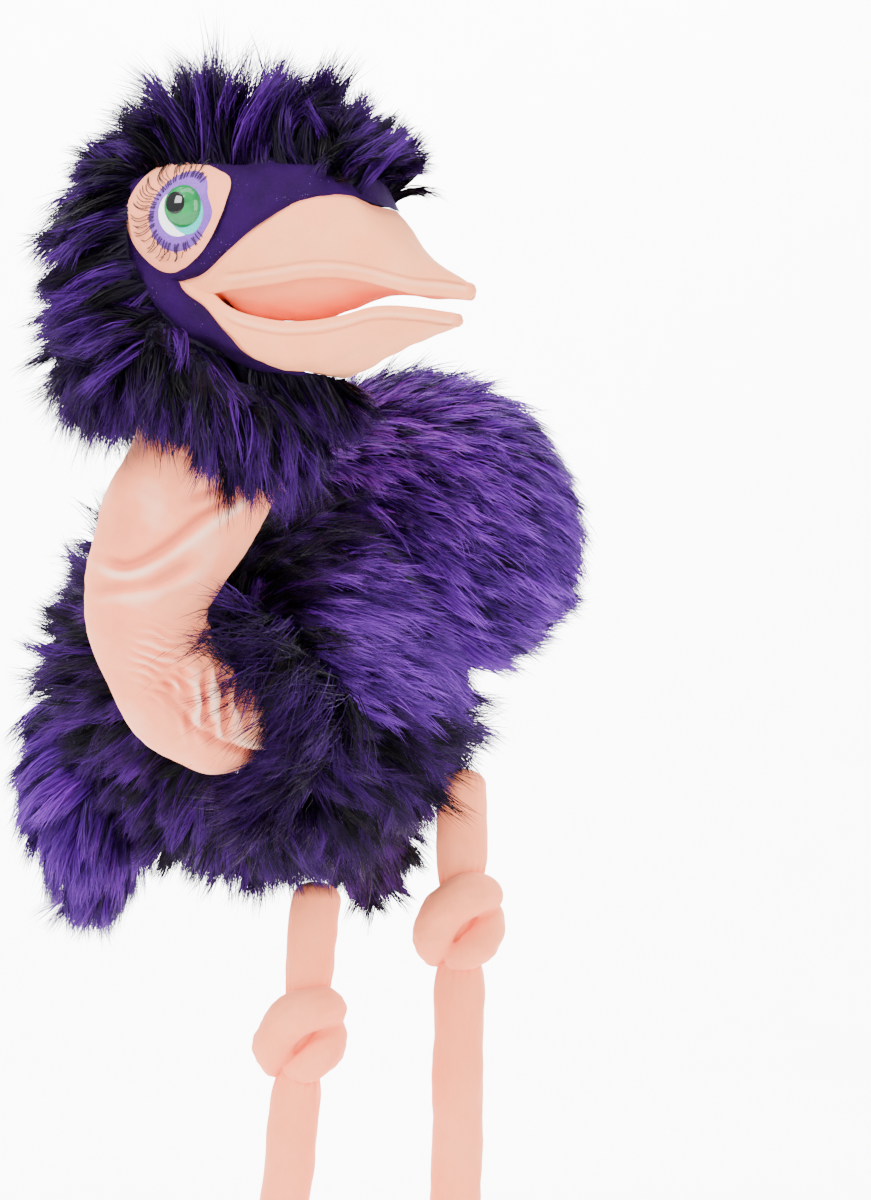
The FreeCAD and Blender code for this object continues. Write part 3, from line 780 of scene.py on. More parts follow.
def make_elastic():
    """The elastic in the cuff's channel."""
    low, high = corners(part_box("cuff_elastic"))
    rows, cols = 8, 260
    across = full_turn(rows)[:, None]
    turn = full_turn(cols)[None, :]
    outer = (high[0] - low[0]) / 2
    radius = outer - 0.0008 + 0.0007 * np.cos(across) + 0.0003 * np.sin(64 * turn)
    y = (low[1] + high[1]) / 2 + (high[1] - low[1]) / 2 * np.sin(across)
    grid = round_arm(radius, turn, y)
    band = solid_mesh("elastic_band", grid.reshape(-1, 3), grid_faces(rows, cols, True, True)[:, ::-1])
    dress(band, TAPE, "torso", ["cuff_elastic"])


def make_label():
    """A blank folded satin label, sewn in at the bottom of the cuff."""
    low, high = corners(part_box("sewn_in_label"))
    width, long = 0.018, 0.034
    rows, cols = 30, 16
    share, across = np.meshgrid(np.linspace(0, 1, rows), np.linspace(-0.5, 0.5, cols), indexing="ij")
    y = low[1] + long * share * 0.97
    z = high[2] - 0.0004 - 0.004 * share**2 + 0.0008 * np.sin(share * 9 + across * 3)
    grid = np.stack([across * width, y, z], -1)
    label = grid_object("blank_label", grid)
    thicken(label, 0.0004)
    dress(label, TAPE, "torso", ["sewn_in_label"])


def thicken(piece, thickness):
    """Gives an open sheet its cloth thickness, on its inner side."""
    solid = piece.modifiers.new("cloth", "SOLIDIFY")
    solid.thickness = thickness
    solid.offset = -1.0
    bake_modifiers(piece)


# ---- neck -------------------------------------------------------------------------------------------------
# The neck's middle line and radius, in millimetres, from inside the body to inside the ruff
NECK_LINE = [
    (-14, -190, 0, 30), (-15, -218, 0, 32), (-21, -246, 1, 33.5), (-37, -262, 12, 33.5), (-53, -265, 38, 34),
    (-58, -264, 66, 36.5), (-51, -262, 92, 41), (-38, -259, 120, 44.5), (-25, -257, 143, 45),
    (-17, -255, 166, 44),
]
# Creases seen from the front: points in X and Z, depth, width, and how strongly a ridge follows below
CREASES = [
    ([(14, 148), (-8, 134), (-32, 124)], 3.4, 3.2, 0.7),
    ([(6, 136), (-20, 118), (-44, 99), (-66, 88), (-84, 93)], 4.2, 3.2, 1.0),
    ([(-26, 92), (-52, 78), (-92, 74)], 2.6, 3.4, 0.9),
    ([(18, 122), (-2, 90), (-18, 62), (-28, 38)], 1.6, 1.3, 0.2),
    ([(-46, 22), (-36, 2), (-20, -12), (6, -22), (22, -20)], 4.0, 2.6, 1.0),
]
# Gathers seen from the front: middle in X and Z, size, the way across them, spacing and depth
GATHERS = [
    ((-50, 34), (15, 20), (0.35, 1.0), 5.6, 1.5), ((-40, 18), (12, 12), (0.7, 0.8), 6.5, 1.7),
    ((-20, 8), (20, 20), (1.0, 0.12), 10.5, 3.4),
]


def crease(points, line, depth, width, ridge):
    """How far points near a line, seen from the front, sink into it or rise below it, in millimetres."""
    line = np.array(line, float)
    share = np.linspace(0, 1, len(line))
    fine = curve(share, line, np.linspace(0, 1, 60))
    flat = points[:, [0, 2]]
    gap = flat[:, None, :] - fine[None, :, :]
    away = np.linalg.norm(gap, axis=2)
    nearest = away.argmin(1)
    distance = away[np.arange(len(flat)), nearest]
    along = nearest / 59
    fade = np.clip(np.sin(math.pi * np.clip(along, 0.03, 0.97)) * 2.2, 0, 1)
    heading = unit(np.gradient(fine, axis=0))[nearest]
    offset = gap[np.arange(len(flat)), nearest]
    signed = heading[:, 0] * offset[:, 1] - heading[:, 1] * offset[:, 0]
    beside = np.hypot(signed - width * 1.9, np.sqrt(np.maximum(distance**2 - signed**2, 0)))
    valley = -depth * np.exp(-((distance / width) ** 2))
    return (valley + ridge * depth * 0.55 * np.exp(-((beside / (width * 1.1)) ** 2))) * fade


def gathers(points, middle, size, across, spacing, depth):
    """Small folds side by side where the cloth bunches at the inside of a bend. Millimetres."""
    offset = points[:, [0, 2]] - middle
    wobble = 0.9 * ripple(points, 16, 85)
    wave = np.sin(offset @ unit(np.array(across, float)) * (2 * math.pi / spacing) + wobble)
    fade = np.exp(-((offset / size) ** 2).sum(1) ** 1.5)
    return depth * (np.abs(wave) ** 0.7 * np.sign(wave) - 0.35) * fade


NECK_ROWS, NECK_COLS = 300, 260


def make_neck():
    """The velvet neck sleeve, with its creases and gathers, and the bands at its two ends."""
    line = np.array(NECK_LINE, float)
    share = np.concatenate([[0], np.cumsum(np.linalg.norm(np.diff(line[:, :3], axis=0), axis=1))])
    fine = curve(share, line, np.linspace(0, share[-1], NECK_ROWS))
    flat = sweep(fine[:, :3], fine[:, 3], NECK_COLS).reshape(-1, 3)
    normals = unit(flat - np.repeat(fine[:, :3], NECK_COLS, 0))
    facing = step(0.1, -0.35, normals[:, 1])
    lift = np.zeros(len(flat))
    for points, depth, width, ridge in CREASES:
        lift += crease(flat, points, depth, width, ridge) * facing
    for fold in GATHERS:
        lift += gathers(flat, *fold) * facing
    back = 1 - facing
    along = np.repeat(np.linspace(0, 1, NECK_ROWS), NECK_COLS)
    bend = np.exp(-(((along - 0.36) / 0.16) ** 2))
    inner = np.clip(normals @ unit(np.array([1.0, 0.25, 0.8])), 0, 1)
    lift += back * inner * bend * 1.3 * np.sin(along * 110 + 2 * ripple(flat, 40, 83))
    lift += back * 1.1 * ripple(flat, 55, 81) + 0.5 * ripple(flat, 34, 82) + 0.12 * ripple(flat, 9, 84)
    ends = np.minimum(step(0.0, 0.08, along), step(1.0, 0.94, along))
    flat = flat + normals * (np.clip(lift, -5.5, 2.6) * ends)[:, None]
    grid = flat.reshape(NECK_ROWS, NECK_COLS, 3) * MM
    # The fold value paints a highlight on the ridges and shade in the creases and gathers
    piece = grid_object("neck_velvet", grid, round_cols=True, values={"fold": np.clip(lift / 2.6, -1, 1)})
    thicken(piece, 0.0022)
    dress(piece, NECK, replaces=["neck_sleeve_root", "neck_sleeve_elbow", "neck_sleeve_top"])
    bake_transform(piece)

    make_binding("neck_root_binding", "neck_root_band", "neck_root", NECK_ROOT + (-0.015, 0.012, 0),
                 np.array([0.0, 1.0, 0.0]), 0.0335)
    make_binding("neck_collar_binding", "neck_collar_band", "collar", COLLAR, unit(NECK_AXIS), 0.0468)


def make_binding(name, node, body, centre, axis, outer):
    """A stitched cloth band round the neck, with small gathers."""
    rows, cols = 12, 240
    across = full_turn(rows)[:, None]
    turn = full_turn(cols)[None, :]
    side = unit(np.cross(axis, [0.3, 0.2, 1.0]))
    other = np.cross(axis, side)
    radius = outer - 0.0013 + (0.0012 + 0.0003 * np.sin(52 * turn)) * np.cos(across)
    along = 0.004 * np.sin(across) + 0 * turn
    ring = np.cos(turn)[..., None] * side + np.sin(turn)[..., None] * other
    grid = centre + radius[..., None] * ring + along[..., None] * axis
    band = solid_mesh(name, grid.reshape(-1, 3), grid_faces(rows, cols, True, True))
    dress(band, NECK, body, [node])


# ---- head -------------------------------------------------------------------------------------------------
# The head's fabric in its own frame, in millimetres: heights and half widths along the beak
TOP = [(-40, 67), (-34, 72), (-22, 78), (10, 82), (48, 80), (80, 75), (91, 69.5), (99.6, 62), (106, 52),
       (110.4, 44.5), (118, 33), (128, 20.5), (139, 11), (150.6, 3.2), (158, -1.5)]
LIP = [(-40, 18), (-32, 14), (-15, 6), (0, -1), (12, -5), (25, -3), (43, -1), (78, 3), (94, 2), (110, -1.3),
       (129, -6), (143, -7), (158, -9)]
UPPER_FOOT = [(-40, 44), (-15, 46.5), (0, 44), (22, 41.5), (48, 41), (80, 38), (98, 34), (110, 31),
              (128, 22.5), (140, 15.5), (150, 9.5), (158, 4.5)]
UPPER_HALF = [(-40, 46), (-15, 50), (10, 52), (48, 51), (80, 46), (98, 41), (110, 36), (128, 25), (140, 17),
              (150, 10.2), (158, 4.8)]
LOWER_TOP = [(-32, 14), (-15, 6), (0, -1), (12, -5), (22, -13.5), (45, -22), (74, -23.5), (88, -21),
             (108, -15.5), (130, -16), (144, -18), (151, -19)]
LOWER_FOOT = [(-32, 46), (-15, 47.5), (0, 44), (12, 41.5), (22, 40.5), (45, 40), (74, 37), (88, 34.5),
              (108, 29), (130, 19), (144, 10), (151, 5)]
LOWER_HALF = [(-32, 47), (-15, 50), (0, 48), (12, 45), (22, 42.5), (45, 40.8), (74, 37.4), (88, 34.8),
              (108, 29.2), (130, 19), (144, 10), (151, 5)]
LOWER_DEPTH = [(-32, 20), (-15, 28), (0, 36), (12, 34.5), (22, 32), (45, 32), (74, 31), (88, 29.5),
               (108, 24.5), (130, 15), (144, 8.5), (151, 5)]
# Seams as (share of the section's height, x)
UPPER_SEAM = [(0, -3), (0.2, 23), (0.41, 47), (0.53, 64), (0.64, 84), (0.74, 98), (0.86, 106), (1, 111)]
LOWER_SEAM = [(0, -4), (0.07, -2.5), (0.29, 12), (0.48, 24), (0.78, 44), (0.9, 68), (1, 74)]
SKIN_ROWS, SKIN_COLS = 150, 240
LIP_ROLL = 2.0                         # the radius of the rolled edge along the mouth
LIP_STEPS = 6
TIP_STEPS = 7
TIP_ROUNDS = 4.4                       # how far a beak's rounded tip stands past its cover's last ring
STITCH_PITCH = 2.9
# A section's outline: shares of the way round it, with half widths at the foot and widest, and height
ARCH_SHARES = [0, 0.09, 0.19, 0.33, 0.43, 0.5, 0.57, 0.67, 0.81, 0.91, 1]
ARCH_FOOT = [1, 0.25, 0, 0, 0, 0, 0, 0, 0, -0.25, -1]
ARCH_HALF = [0, 0.75, 1, 0.86, 0.45, 0, -0.45, -0.86, -1, -0.75, 0]
ARCH_RISE = [0, 0.22, 0.46, 0.80, 0.965, 1, 0.965, 0.80, 0.46, 0.22, 0]


def read(table, x):
    xs, values = zip(*table)
    return curve(xs, values, x)


def rise(s):
    """How high a section is at s, as a share of its height."""
    return np.clip(curve(ARCH_SHARES, ARCH_RISE, s), 0, 1)


def half_width(s, foot, half):
    """How far out a section is at s, from its half widths at the lip and at its widest."""
    return foot * curve(ARCH_SHARES, ARCH_FOOT, s) + half * curve(ARCH_SHARES, ARCH_HALF, s)


def section(x, s, base, height, foot, half):
    y = half_width(s, foot, half)
    return np.stack([x + 0 * y, y, base + height * rise(s)], -1)


def upper_skin(x, s):
    """A point of the upper head: s runs from the left lip, over the top, to the right lip."""
    base = read(LIP, x)
    return section(x, s, base, read(TOP, x) - base, read(UPPER_FOOT, x), read(UPPER_HALF, x))


def lower_skin(x, s):
    """A point of the lower beak: s runs from the left lip, under the chin, to the right lip."""
    return section(x, s, read(LOWER_TOP, x), -read(LOWER_DEPTH, x), read(LOWER_FOOT, x), read(LOWER_HALF, x))


def face_out(piece, centre):
    """Turns a piece's faces so that they look away from centre."""
    points, normals = read_points(piece)
    if ((points - centre) * normals).sum() < 0:
        piece.data.flip_normals()
    return piece


def groove(distance, depth, width):
    return -depth * np.exp(-((distance / width) ** 2))


def rolled_lip(grid, radius, inwards_up):
    """Adds the soft rolled edge where a cover turns in to the mouth at both of its lips."""
    turn = np.linspace(0, math.pi, LIP_STEPS + 1)[1:]
    rolls = []
    for edge, outward in ((grid[:, 0], 1.0), (grid[:, -1], -1.0)):
        roll = []
        for angle in turn:
            point = edge.copy()
            point[:, 1] -= outward * radius * (1 - np.cos(angle))
            point[:, 2] -= inwards_up * radius * np.sin(angle) * 0.7
            roll.append(point)
        rolls.append(np.stack(roll, 1))
    return np.concatenate([rolls[0][:, ::-1], grid, rolls[1]], 1)


def make_cover(name, skin, seam, lip_sign, tip, lip_lines, rows=200, cols=240):
    """A beak cover in peach velour, from its seam with the dark velour to its tip."""
    s = np.linspace(0, 1, cols)[None, :]
    share = np.linspace(0, 1, rows)[:, None]
    seam_x = read(seam, rise(s))
    x = seam_x + (tip - seam_x) * share
    grid = skin(x, s + 0 * x)
    normals = grid_normals(grid)
    middle = np.stack([x, 0 * x, 0.5 * (grid[..., 2].max(1) + grid[..., 2].min(1))[:, None] + 0 * x], -1)
    normals *= np.sign(((grid - middle) * normals).sum(-1, keepdims=True))
    flat = grid.reshape(-1, 3)
    height = np.abs(grid[..., 2] - skin(x, 0 * x)[..., 2])
    soft = 0.7 * ripple(flat, 46, 91) + 0.3 * ripple(flat, 17, 92) + 0.08 * ripple(flat, 7, 93)
    lift = groove((x - seam_x) * 0.75, 1.5, 2.4)
    along = np.cumsum(np.linalg.norm(np.diff(grid, axis=0, prepend=grid[:1]), axis=-1), axis=0)
    for line in lip_lines:
        near_lip = step(0.5, 0.3, np.abs(np.abs(s - 0.5) - 0.5)) * step(18, 30, x)
        dimple = 0.75 + 0.25 * np.sin(along * 2 * math.pi / STITCH_PITCH)
        lift += groove(height - line, 1.0, 0.9) * dimple * near_lip
        lift += 0.4 * np.exp(-(((height - line + 2.6) / 1.6) ** 2)) * near_lip
    soft = soft.reshape(x.shape) * np.clip((tip - x) / 30, 0.1, 1)
    grid = grid + normals * (lift + soft)[..., None]
    end = grid[-1]
    centre = end.mean(0)
    caps = [centre + (end - centre) * math.sqrt(1 - k * k * 0.999) + [TIP_ROUNDS * k, 0, 0]
            for k in np.linspace(0, 1, TIP_STEPS + 1)[1:]]
    grid = np.concatenate([grid, np.array(caps)], 0)
    # The fold value paints shade into the seam and lip-line grooves and a highlight on the rise beside each
    # lip line
    folds = np.clip(np.concatenate([lift, np.zeros((TIP_STEPS, cols))], 0), -1, 1)
    grid = rolled_lip(grid, LIP_ROLL, lip_sign)
    folds = np.pad(folds, ((0, 0), (LIP_STEPS, LIP_STEPS)))
    piece = grid_object(name, from_head(grid), values={"fold": folds})
    return face_out(piece, from_head([60, 0, 20 if lip_sign > 0 else -34]))


def make_mouth_sheet(name, inner, centre_line, sag, start, tip, painted_shade_back, fullness):
    """The padded lining of one half of the mouth, from lip to lip, with painted shade deep at its back and
    towards both lips.
    """
    x = np.linspace(start, tip, 150)[:, None]
    across = np.linspace(-1, 1, 90)[None, :]
    half = read(inner, x) - 2.6
    y = across * half
    edge = np.abs(across) ** fullness
    z = read(centre_line, x) * edge + read(sag, x) * (1 - edge)
    points = np.stack([x + 0 * y, y, z + 0 * y], -1)
    flat = points.reshape(-1, 3)
    soft = (0.5 * ripple(flat, 30, 95) + 0.2 * ripple(flat, 11, 96)).reshape(z.shape)
    points[..., 2] += soft * (1 - edge) * step(start, start + 12, x)
    # Painted shade: darkest at the back of the mouth and fading out towards the front, with a lighter painted
    # shade towards both lips
    shade = -np.clip(step(start + painted_shade_back, start, x) + 0.35 * edge, 0, 1) + 0 * y
    return grid_object(name, from_head(points), values={"fold": shade})


def velour_skin(skin, seam, back):
    """A grid over the dark velour, from behind to its seam with the beak's cover.

    With it come each column's place across the section and how far each point is from the seam.
    """
    s = np.linspace(0, 1, SKIN_COLS)[None, :]
    seam_x = read(seam, rise(s))
    x = back + (seam_x - back) * np.linspace(0, 1, SKIN_ROWS)[:, None]
    return skin(x, s + 0 * x), s, seam_x - x


def make_head():
    """The dark velour face, the upper beak's cover and its half of the mouth."""
    grid, _, to_seam = velour_skin(upper_skin, UPPER_SEAM, -38)
    flat = grid.reshape(-1, 3)
    outward = unit(flat - np.stack([flat[:, 0], 0 * flat[:, 0], 0 * flat[:, 0] + 30], -1))
    lift = 1.0 * ripple(flat, 44, 97) + 0.35 * ripple(flat, 15, 98) + 0.1 * ripple(flat, 6, 99)
    lift = lift.reshape(to_seam.shape) * step(0, 8, to_seam) + groove(to_seam * 0.75, 1.5, 2.4) + 0.6
    grid = grid + outward.reshape(grid.shape) * lift[..., None]
    face = face_out(grid_object("face_velour_skin", from_head(grid)), from_head([30, 0, 30]))
    dress(face, FACE, "head", ["face_velour", "head_foam"])

    cover = make_cover("upper_beak_velour", upper_skin, UPPER_SEAM, 1.0, 155.0, (7.3,))
    dress(cover, BEAK, "head", ["upper_beak_cover", "upper_beak_foam", "upper_lip_band"])

    palate_edge = [(x, z + 1.0) for x, z in LIP]
    palate_sag = [(9, -9.5), (13, -9), (17, -9.5), (20, -14), (26, -18), (48, -20), (68, -19), (84, -14),
                  (98, -8.5), (114, -6.5), (130, -8), (150, -8.5)]
    palate = make_mouth_sheet("upper_mouth_velour", UPPER_FOOT, palate_edge, palate_sag, 9, 154, 13, 2.6)
    dress(palate, MOUTH, "head", ["upper_mouth_lining"])


def make_jaw():
    """The dark velour cheek, the lower beak's cover and its half of the mouth."""
    grid, s, to_seam = velour_skin(lower_skin, LOWER_SEAM, -32)
    flat = grid.reshape(-1, 3)
    outward = unit(flat - np.stack([flat[:, 0], 0 * flat[:, 0], read(LOWER_TOP, flat[:, 0]) - 8], -1))
    lift = (0.8 * ripple(flat, 36, 101) + 0.3 * ripple(flat, 13, 102)).reshape(to_seam.shape)
    lift = lift * step(0, 8, to_seam) * step(0, 0.12, rise(s)) + groove(to_seam * 0.75, 1.4, 2.2)
    grid = grid + outward.reshape(grid.shape) * lift[..., None]
    cheek = face_out(grid_object("cheek_velour_skin", from_head(grid)), from_head([20, 0, -10]))
    dress(cheek, FACE, replaces=["chin_velour"])
    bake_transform(cheek)

    cover = make_cover("lower_beak_velour", lower_skin, LOWER_SEAM, -1.0, 147.0, (6.5,))
    dress(cover, BEAK, replaces=["lower_beak_cover", "lower_beak_foam"])
    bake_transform(cover)

    edge = [(x, z - 1.0) for x, z in LOWER_TOP]
    dip = [(8, -10), (14, -13), (22, -15.5), (45, -21.4), (74, -22.2), (88, -19.8), (108, -15), (130, -16),
           (148, -19)]
    lining = make_mouth_sheet("lower_mouth_velour", LOWER_FOOT, edge, dip, 9, 147, 13, 14)
    dress(lining, MOUTH, replaces=["lower_mouth_lining", "mouth_corner_fold"])
    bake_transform(lining)


# ---- eyes -------------------------------------------------------------------------------------------------
# The patch's outline in x and z, round the eye
PATCH = [(28.2, 58.8), (27.2, 44.7), (24.2, 36.3), (17.7, 23.7), (7.6, 12.4), (-8.5, 5.3), (-23, 13.8),
         (-31.8, 26.4), (-34.3, 40.4), (-28.8, 54.6), (-20, 64.4), (-5.5, 71.5), (10.5, 67.8), (21.5, 63)]
EYE_MIDDLE = np.array([-3.0, 40.0])
PUFF = 57.0                            # how far the patch's middle stands out from the head's middle plane


def side_y(x, z):
    """How far out the head's right side is at x and z."""
    base = read(LIP, x)
    level = np.clip((z - base) / (read(TOP, x) - base), 0.0, 0.93)
    s = np.interp(level, ARCH_RISE[:6], ARCH_SHARES[:6])
    return half_width(s, read(UPPER_FOOT, x), read(UPPER_HALF, x))


def polar(outline, middle):
    """An outline as radii over a full turn round middle, repeated past both ends."""
    offset = np.asarray(outline, float) - middle
    angle = np.arctan2(offset[:, 1], offset[:, 0])
    order = angle.argsort()
    angle, radius = angle[order], np.hypot(offset[:, 0], offset[:, 1])[order]
    angle = np.concatenate([angle - 2 * math.pi, angle, angle + 2 * math.pi])
    return angle, np.tile(radius, 3)


PATCH_ANGLES, PATCH_RADII = polar(PATCH, EYE_MIDDLE)


def on_patch(x, z, lift=0.0):
    """A point of the puffed eye patch on the right side, in the head's frame."""
    x, z = np.broadcast_arrays(np.asarray(x, float), np.asarray(z, float))
    angle = np.arctan2(z - EYE_MIDDLE[1], x - EYE_MIDDLE[0])
    rim = curve(PATCH_ANGLES, PATCH_RADII, angle)
    share = np.clip(np.hypot(x - EYE_MIDDLE[0], z - EYE_MIDDLE[1]) / rim, 0, 1)
    rim_x, rim_z = EYE_MIDDLE[0] + rim * np.cos(angle), EYE_MIDDLE[1] + rim * np.sin(angle)
    rim_y = side_y(rim_x, rim_z)
    y = PUFF + (rim_y + 1.4 - PUFF) * share**2.6
    return np.stack([x, -(y + lift), z], -1)


def mirrored(points, left):
    return points * [1.0, -1.0, 1.0] if left else points


def eye_disc(name, outline, lift, paint, left, replaces=(), rows=40, cols=140, over=None):
    """A shape laid on the patch, its edge turned under. outline lists points in x and z.

    lift is its height over the patch's cloth, or over the surface whose height the function over gives.
    """
    outline = np.asarray(outline, float)
    middle = outline.mean(0)
    angles, radii = polar(outline, middle)
    turn = np.linspace(-math.pi, math.pi, cols, endpoint=False)[None, :]
    share = np.linspace(0.0, 1.0, rows)[:, None]
    rim = curve(angles, radii, turn)
    x = middle[0] + share * rim * np.cos(turn)
    z = middle[1] + share * rim * np.sin(turn)
    height = (lift + 0.5) * np.sqrt(np.clip(1 - share**10, 0, 1)) - 0.5
    height = height + (over(x, z) if over else 1.2)
    grid = mirrored(on_patch(x, z, height + 0 * x), left)
    piece = grid_object(name, from_head(grid), round_cols=True)
    face_out(piece, from_head(mirrored(np.array([0.0, 0.0, 40.0]), left)))
    return dress(piece, paint, "head", replaces)


def arc_threads(name, starts, ends, bow, radius, lift, paint, left, steps=9):
    """Curved threads over the patch between pairs of points in x and z."""
    paths = []
    lift = lift + 1.2
    for (x0, z0), (x1, z1), bend in zip(starts, ends, bow):
        t = np.linspace(0, 1, steps)
        x = x0 + (x1 - x0) * t - (z1 - z0) * bend * np.sin(math.pi * t)
        z = z0 + (z1 - z0) * t + (x1 - x0) * bend * np.sin(math.pi * t)
        paths.append(from_head(mirrored(on_patch(x, z, 1.0 + (lift - 1.0) * np.sin(math.pi * t)), left)))
    return dress(threads(name, paths, radius), paint, "head")


# The embroidered oval's outline in x and z
OVAL = [(9.6, 63), (15.4, 58.8), (17.6, 48.9), (20, 37.7), (15.4, 27.9), (6.6, 18.7), (-5, 16.6),
        (-13.7, 22.2), (-18.1, 33.5), (-16.6, 43.3), (-9.3, 54.6), (-0.6, 61.6)]
OVAL_MIDDLE = (1.5, 40.5)


def ellipse(x, z, half_x, half_z, count=80):
    turn = full_turn(count)
    return np.stack([x + half_x * np.cos(turn), z + half_z * np.sin(turn)], -1)


IRIS_AT, IRIS_HALF = (3.1, 42.2), (10.9, 12.4)


def iris_height(x, z):
    """How far the glossy iris stands out from the patch's cloth."""
    share = np.hypot((x - IRIS_AT[0]) / IRIS_HALF[0], (z - IRIS_AT[1]) / IRIS_HALF[1])
    return 2.6 + 5.2 * np.sqrt(np.clip(1 - share**2, 0, 1))


def round_oval(angles, share):
    """Points at a share of the way from the oval's middle to its edge."""
    reach = curve(*polar(OVAL, OVAL_MIDDLE), angles) * share
    return OVAL_MIDDLE + np.stack([reach * np.cos(angles), reach * np.sin(angles)], -1)


def make_eye(left):
    side = "left" if left else "right"
    rng = np.random.default_rng(7)
    patch = eye_disc(f"eye_patch_cloth_{side}", PATCH, 0.0, PATCH_PAINT, left,
                     [f"eye_patch_{side}"], rows=70, cols=200)
    eye_disc(f"eye_oval_{side}", OVAL, 0.9, LAVENDER, left, [f"eye_stitching_{side}"])
    eye_disc(f"eye_white_{side}", ellipse(0, 38.2, 12.4, 14.2), 1.4, WHITE, left)
    eye_disc(f"eye_teal_{side}", ellipse(5.0, 39.0, 10.4, 13.6), 1.8, TEAL, left)
    eye_disc(f"eye_iris_ball_{side}", ellipse(*IRIS_AT, *IRIS_HALF), 0.0, IRIS, left,
             [f"eye_iris_{side}"], over=iris_height)
    eye_disc(f"eye_pupil_{side}", ellipse(0.2, 43.8, 6.2, 6.8), 0.25, GLOSS_BLACK, left,
             [f"eye_dome_{side}"], over=iris_height)

    count = 54
    angles = np.linspace(0.95, 5.35, count) + rng.normal(0, 0.02, count)
    starts, ends = round_oval(angles, 0.76), round_oval(angles + rng.normal(0, 0.04, count), 1.04)
    arc_threads(f"eye_ticks_{side}", starts, ends, rng.normal(0, 0.06, count), 0.00036, 1.5, VIOLET, left)

    count = 40
    angles = np.linspace(1.15, 4.7, count) + rng.normal(0, 0.03, count)
    long = np.interp(angles, [1.1, 1.8, 3.2, 4.0, 4.7], [8, 12, 13, 9, 5]) * rng.uniform(0.8, 1.1, count)
    starts = round_oval(angles, 1.0)
    aim = angles - 0.25 + rng.normal(0, 0.14, count)
    ends = starts + np.stack([np.cos(aim), np.sin(aim)], -1) * long[:, None]
    arc_threads(f"eye_lashes_{side}", starts, ends, rng.uniform(0.10, 0.26, count), 0.00026, 1.6, BLACK, left)


# ---- hood, ruff and chin ----------------------------------------------------------------------------------
# Ellipsoids that carry the head's pile, in the head's frame: centre and half sizes in millimetres
HOOD = [((-14, 0, 24), (54, 57, 58)), ((50, 0, 42), (52, 44, 38)), ((-24, 0, -36), (42, 54, 38))]
# The lower edge of the dark velour, where the pile begins, in x and z
FACE_EDGE = [(-33, 16), (-28, 12), (-15.5, -16), (1.4, -33), (20, -44), (40, -50.5), (59, -53), (76, -53)]


def on_face(p):
    """True where the dark velour, the eyes or the beak show, given points in the head's frame."""
    low = np.interp(p[:, 0], *zip(*FACE_EDGE))
    high = np.interp(p[:, 0], [-33, -20, 28], [58, 65, 66])
    ahead = (p[:, 0] > -32) & (p[:, 2] < high) & (p[:, 2] > low)
    under_beak = (p[:, 0] > 20) & (p[:, 2] < high)
    return ahead | under_beak


def hood_roots(count, seed):
    """Points and normals over the outside of the hood's ellipsoids, in the head's frame."""
    places, normals = [], []
    area = np.array([r[0] * r[1] + r[1] * r[2] for _, r in HOOD], float)
    for i, (centre, radii) in enumerate(HOOD):
        n = random_directions(int(count * area[i] / area.sum()), seed + i)
        points = np.array(centre) + n * radii
        inside = np.zeros(len(points), bool)
        for j, (other, size) in enumerate(HOOD):
            if j != i:
                inside |= (((points - other) / np.array(size, float)) ** 2).sum(1) < 1
        places.append(points[~inside])
        normals.append(unit(n / np.array(radii, float))[~inside])
    return np.vstack(places), np.vstack(normals)


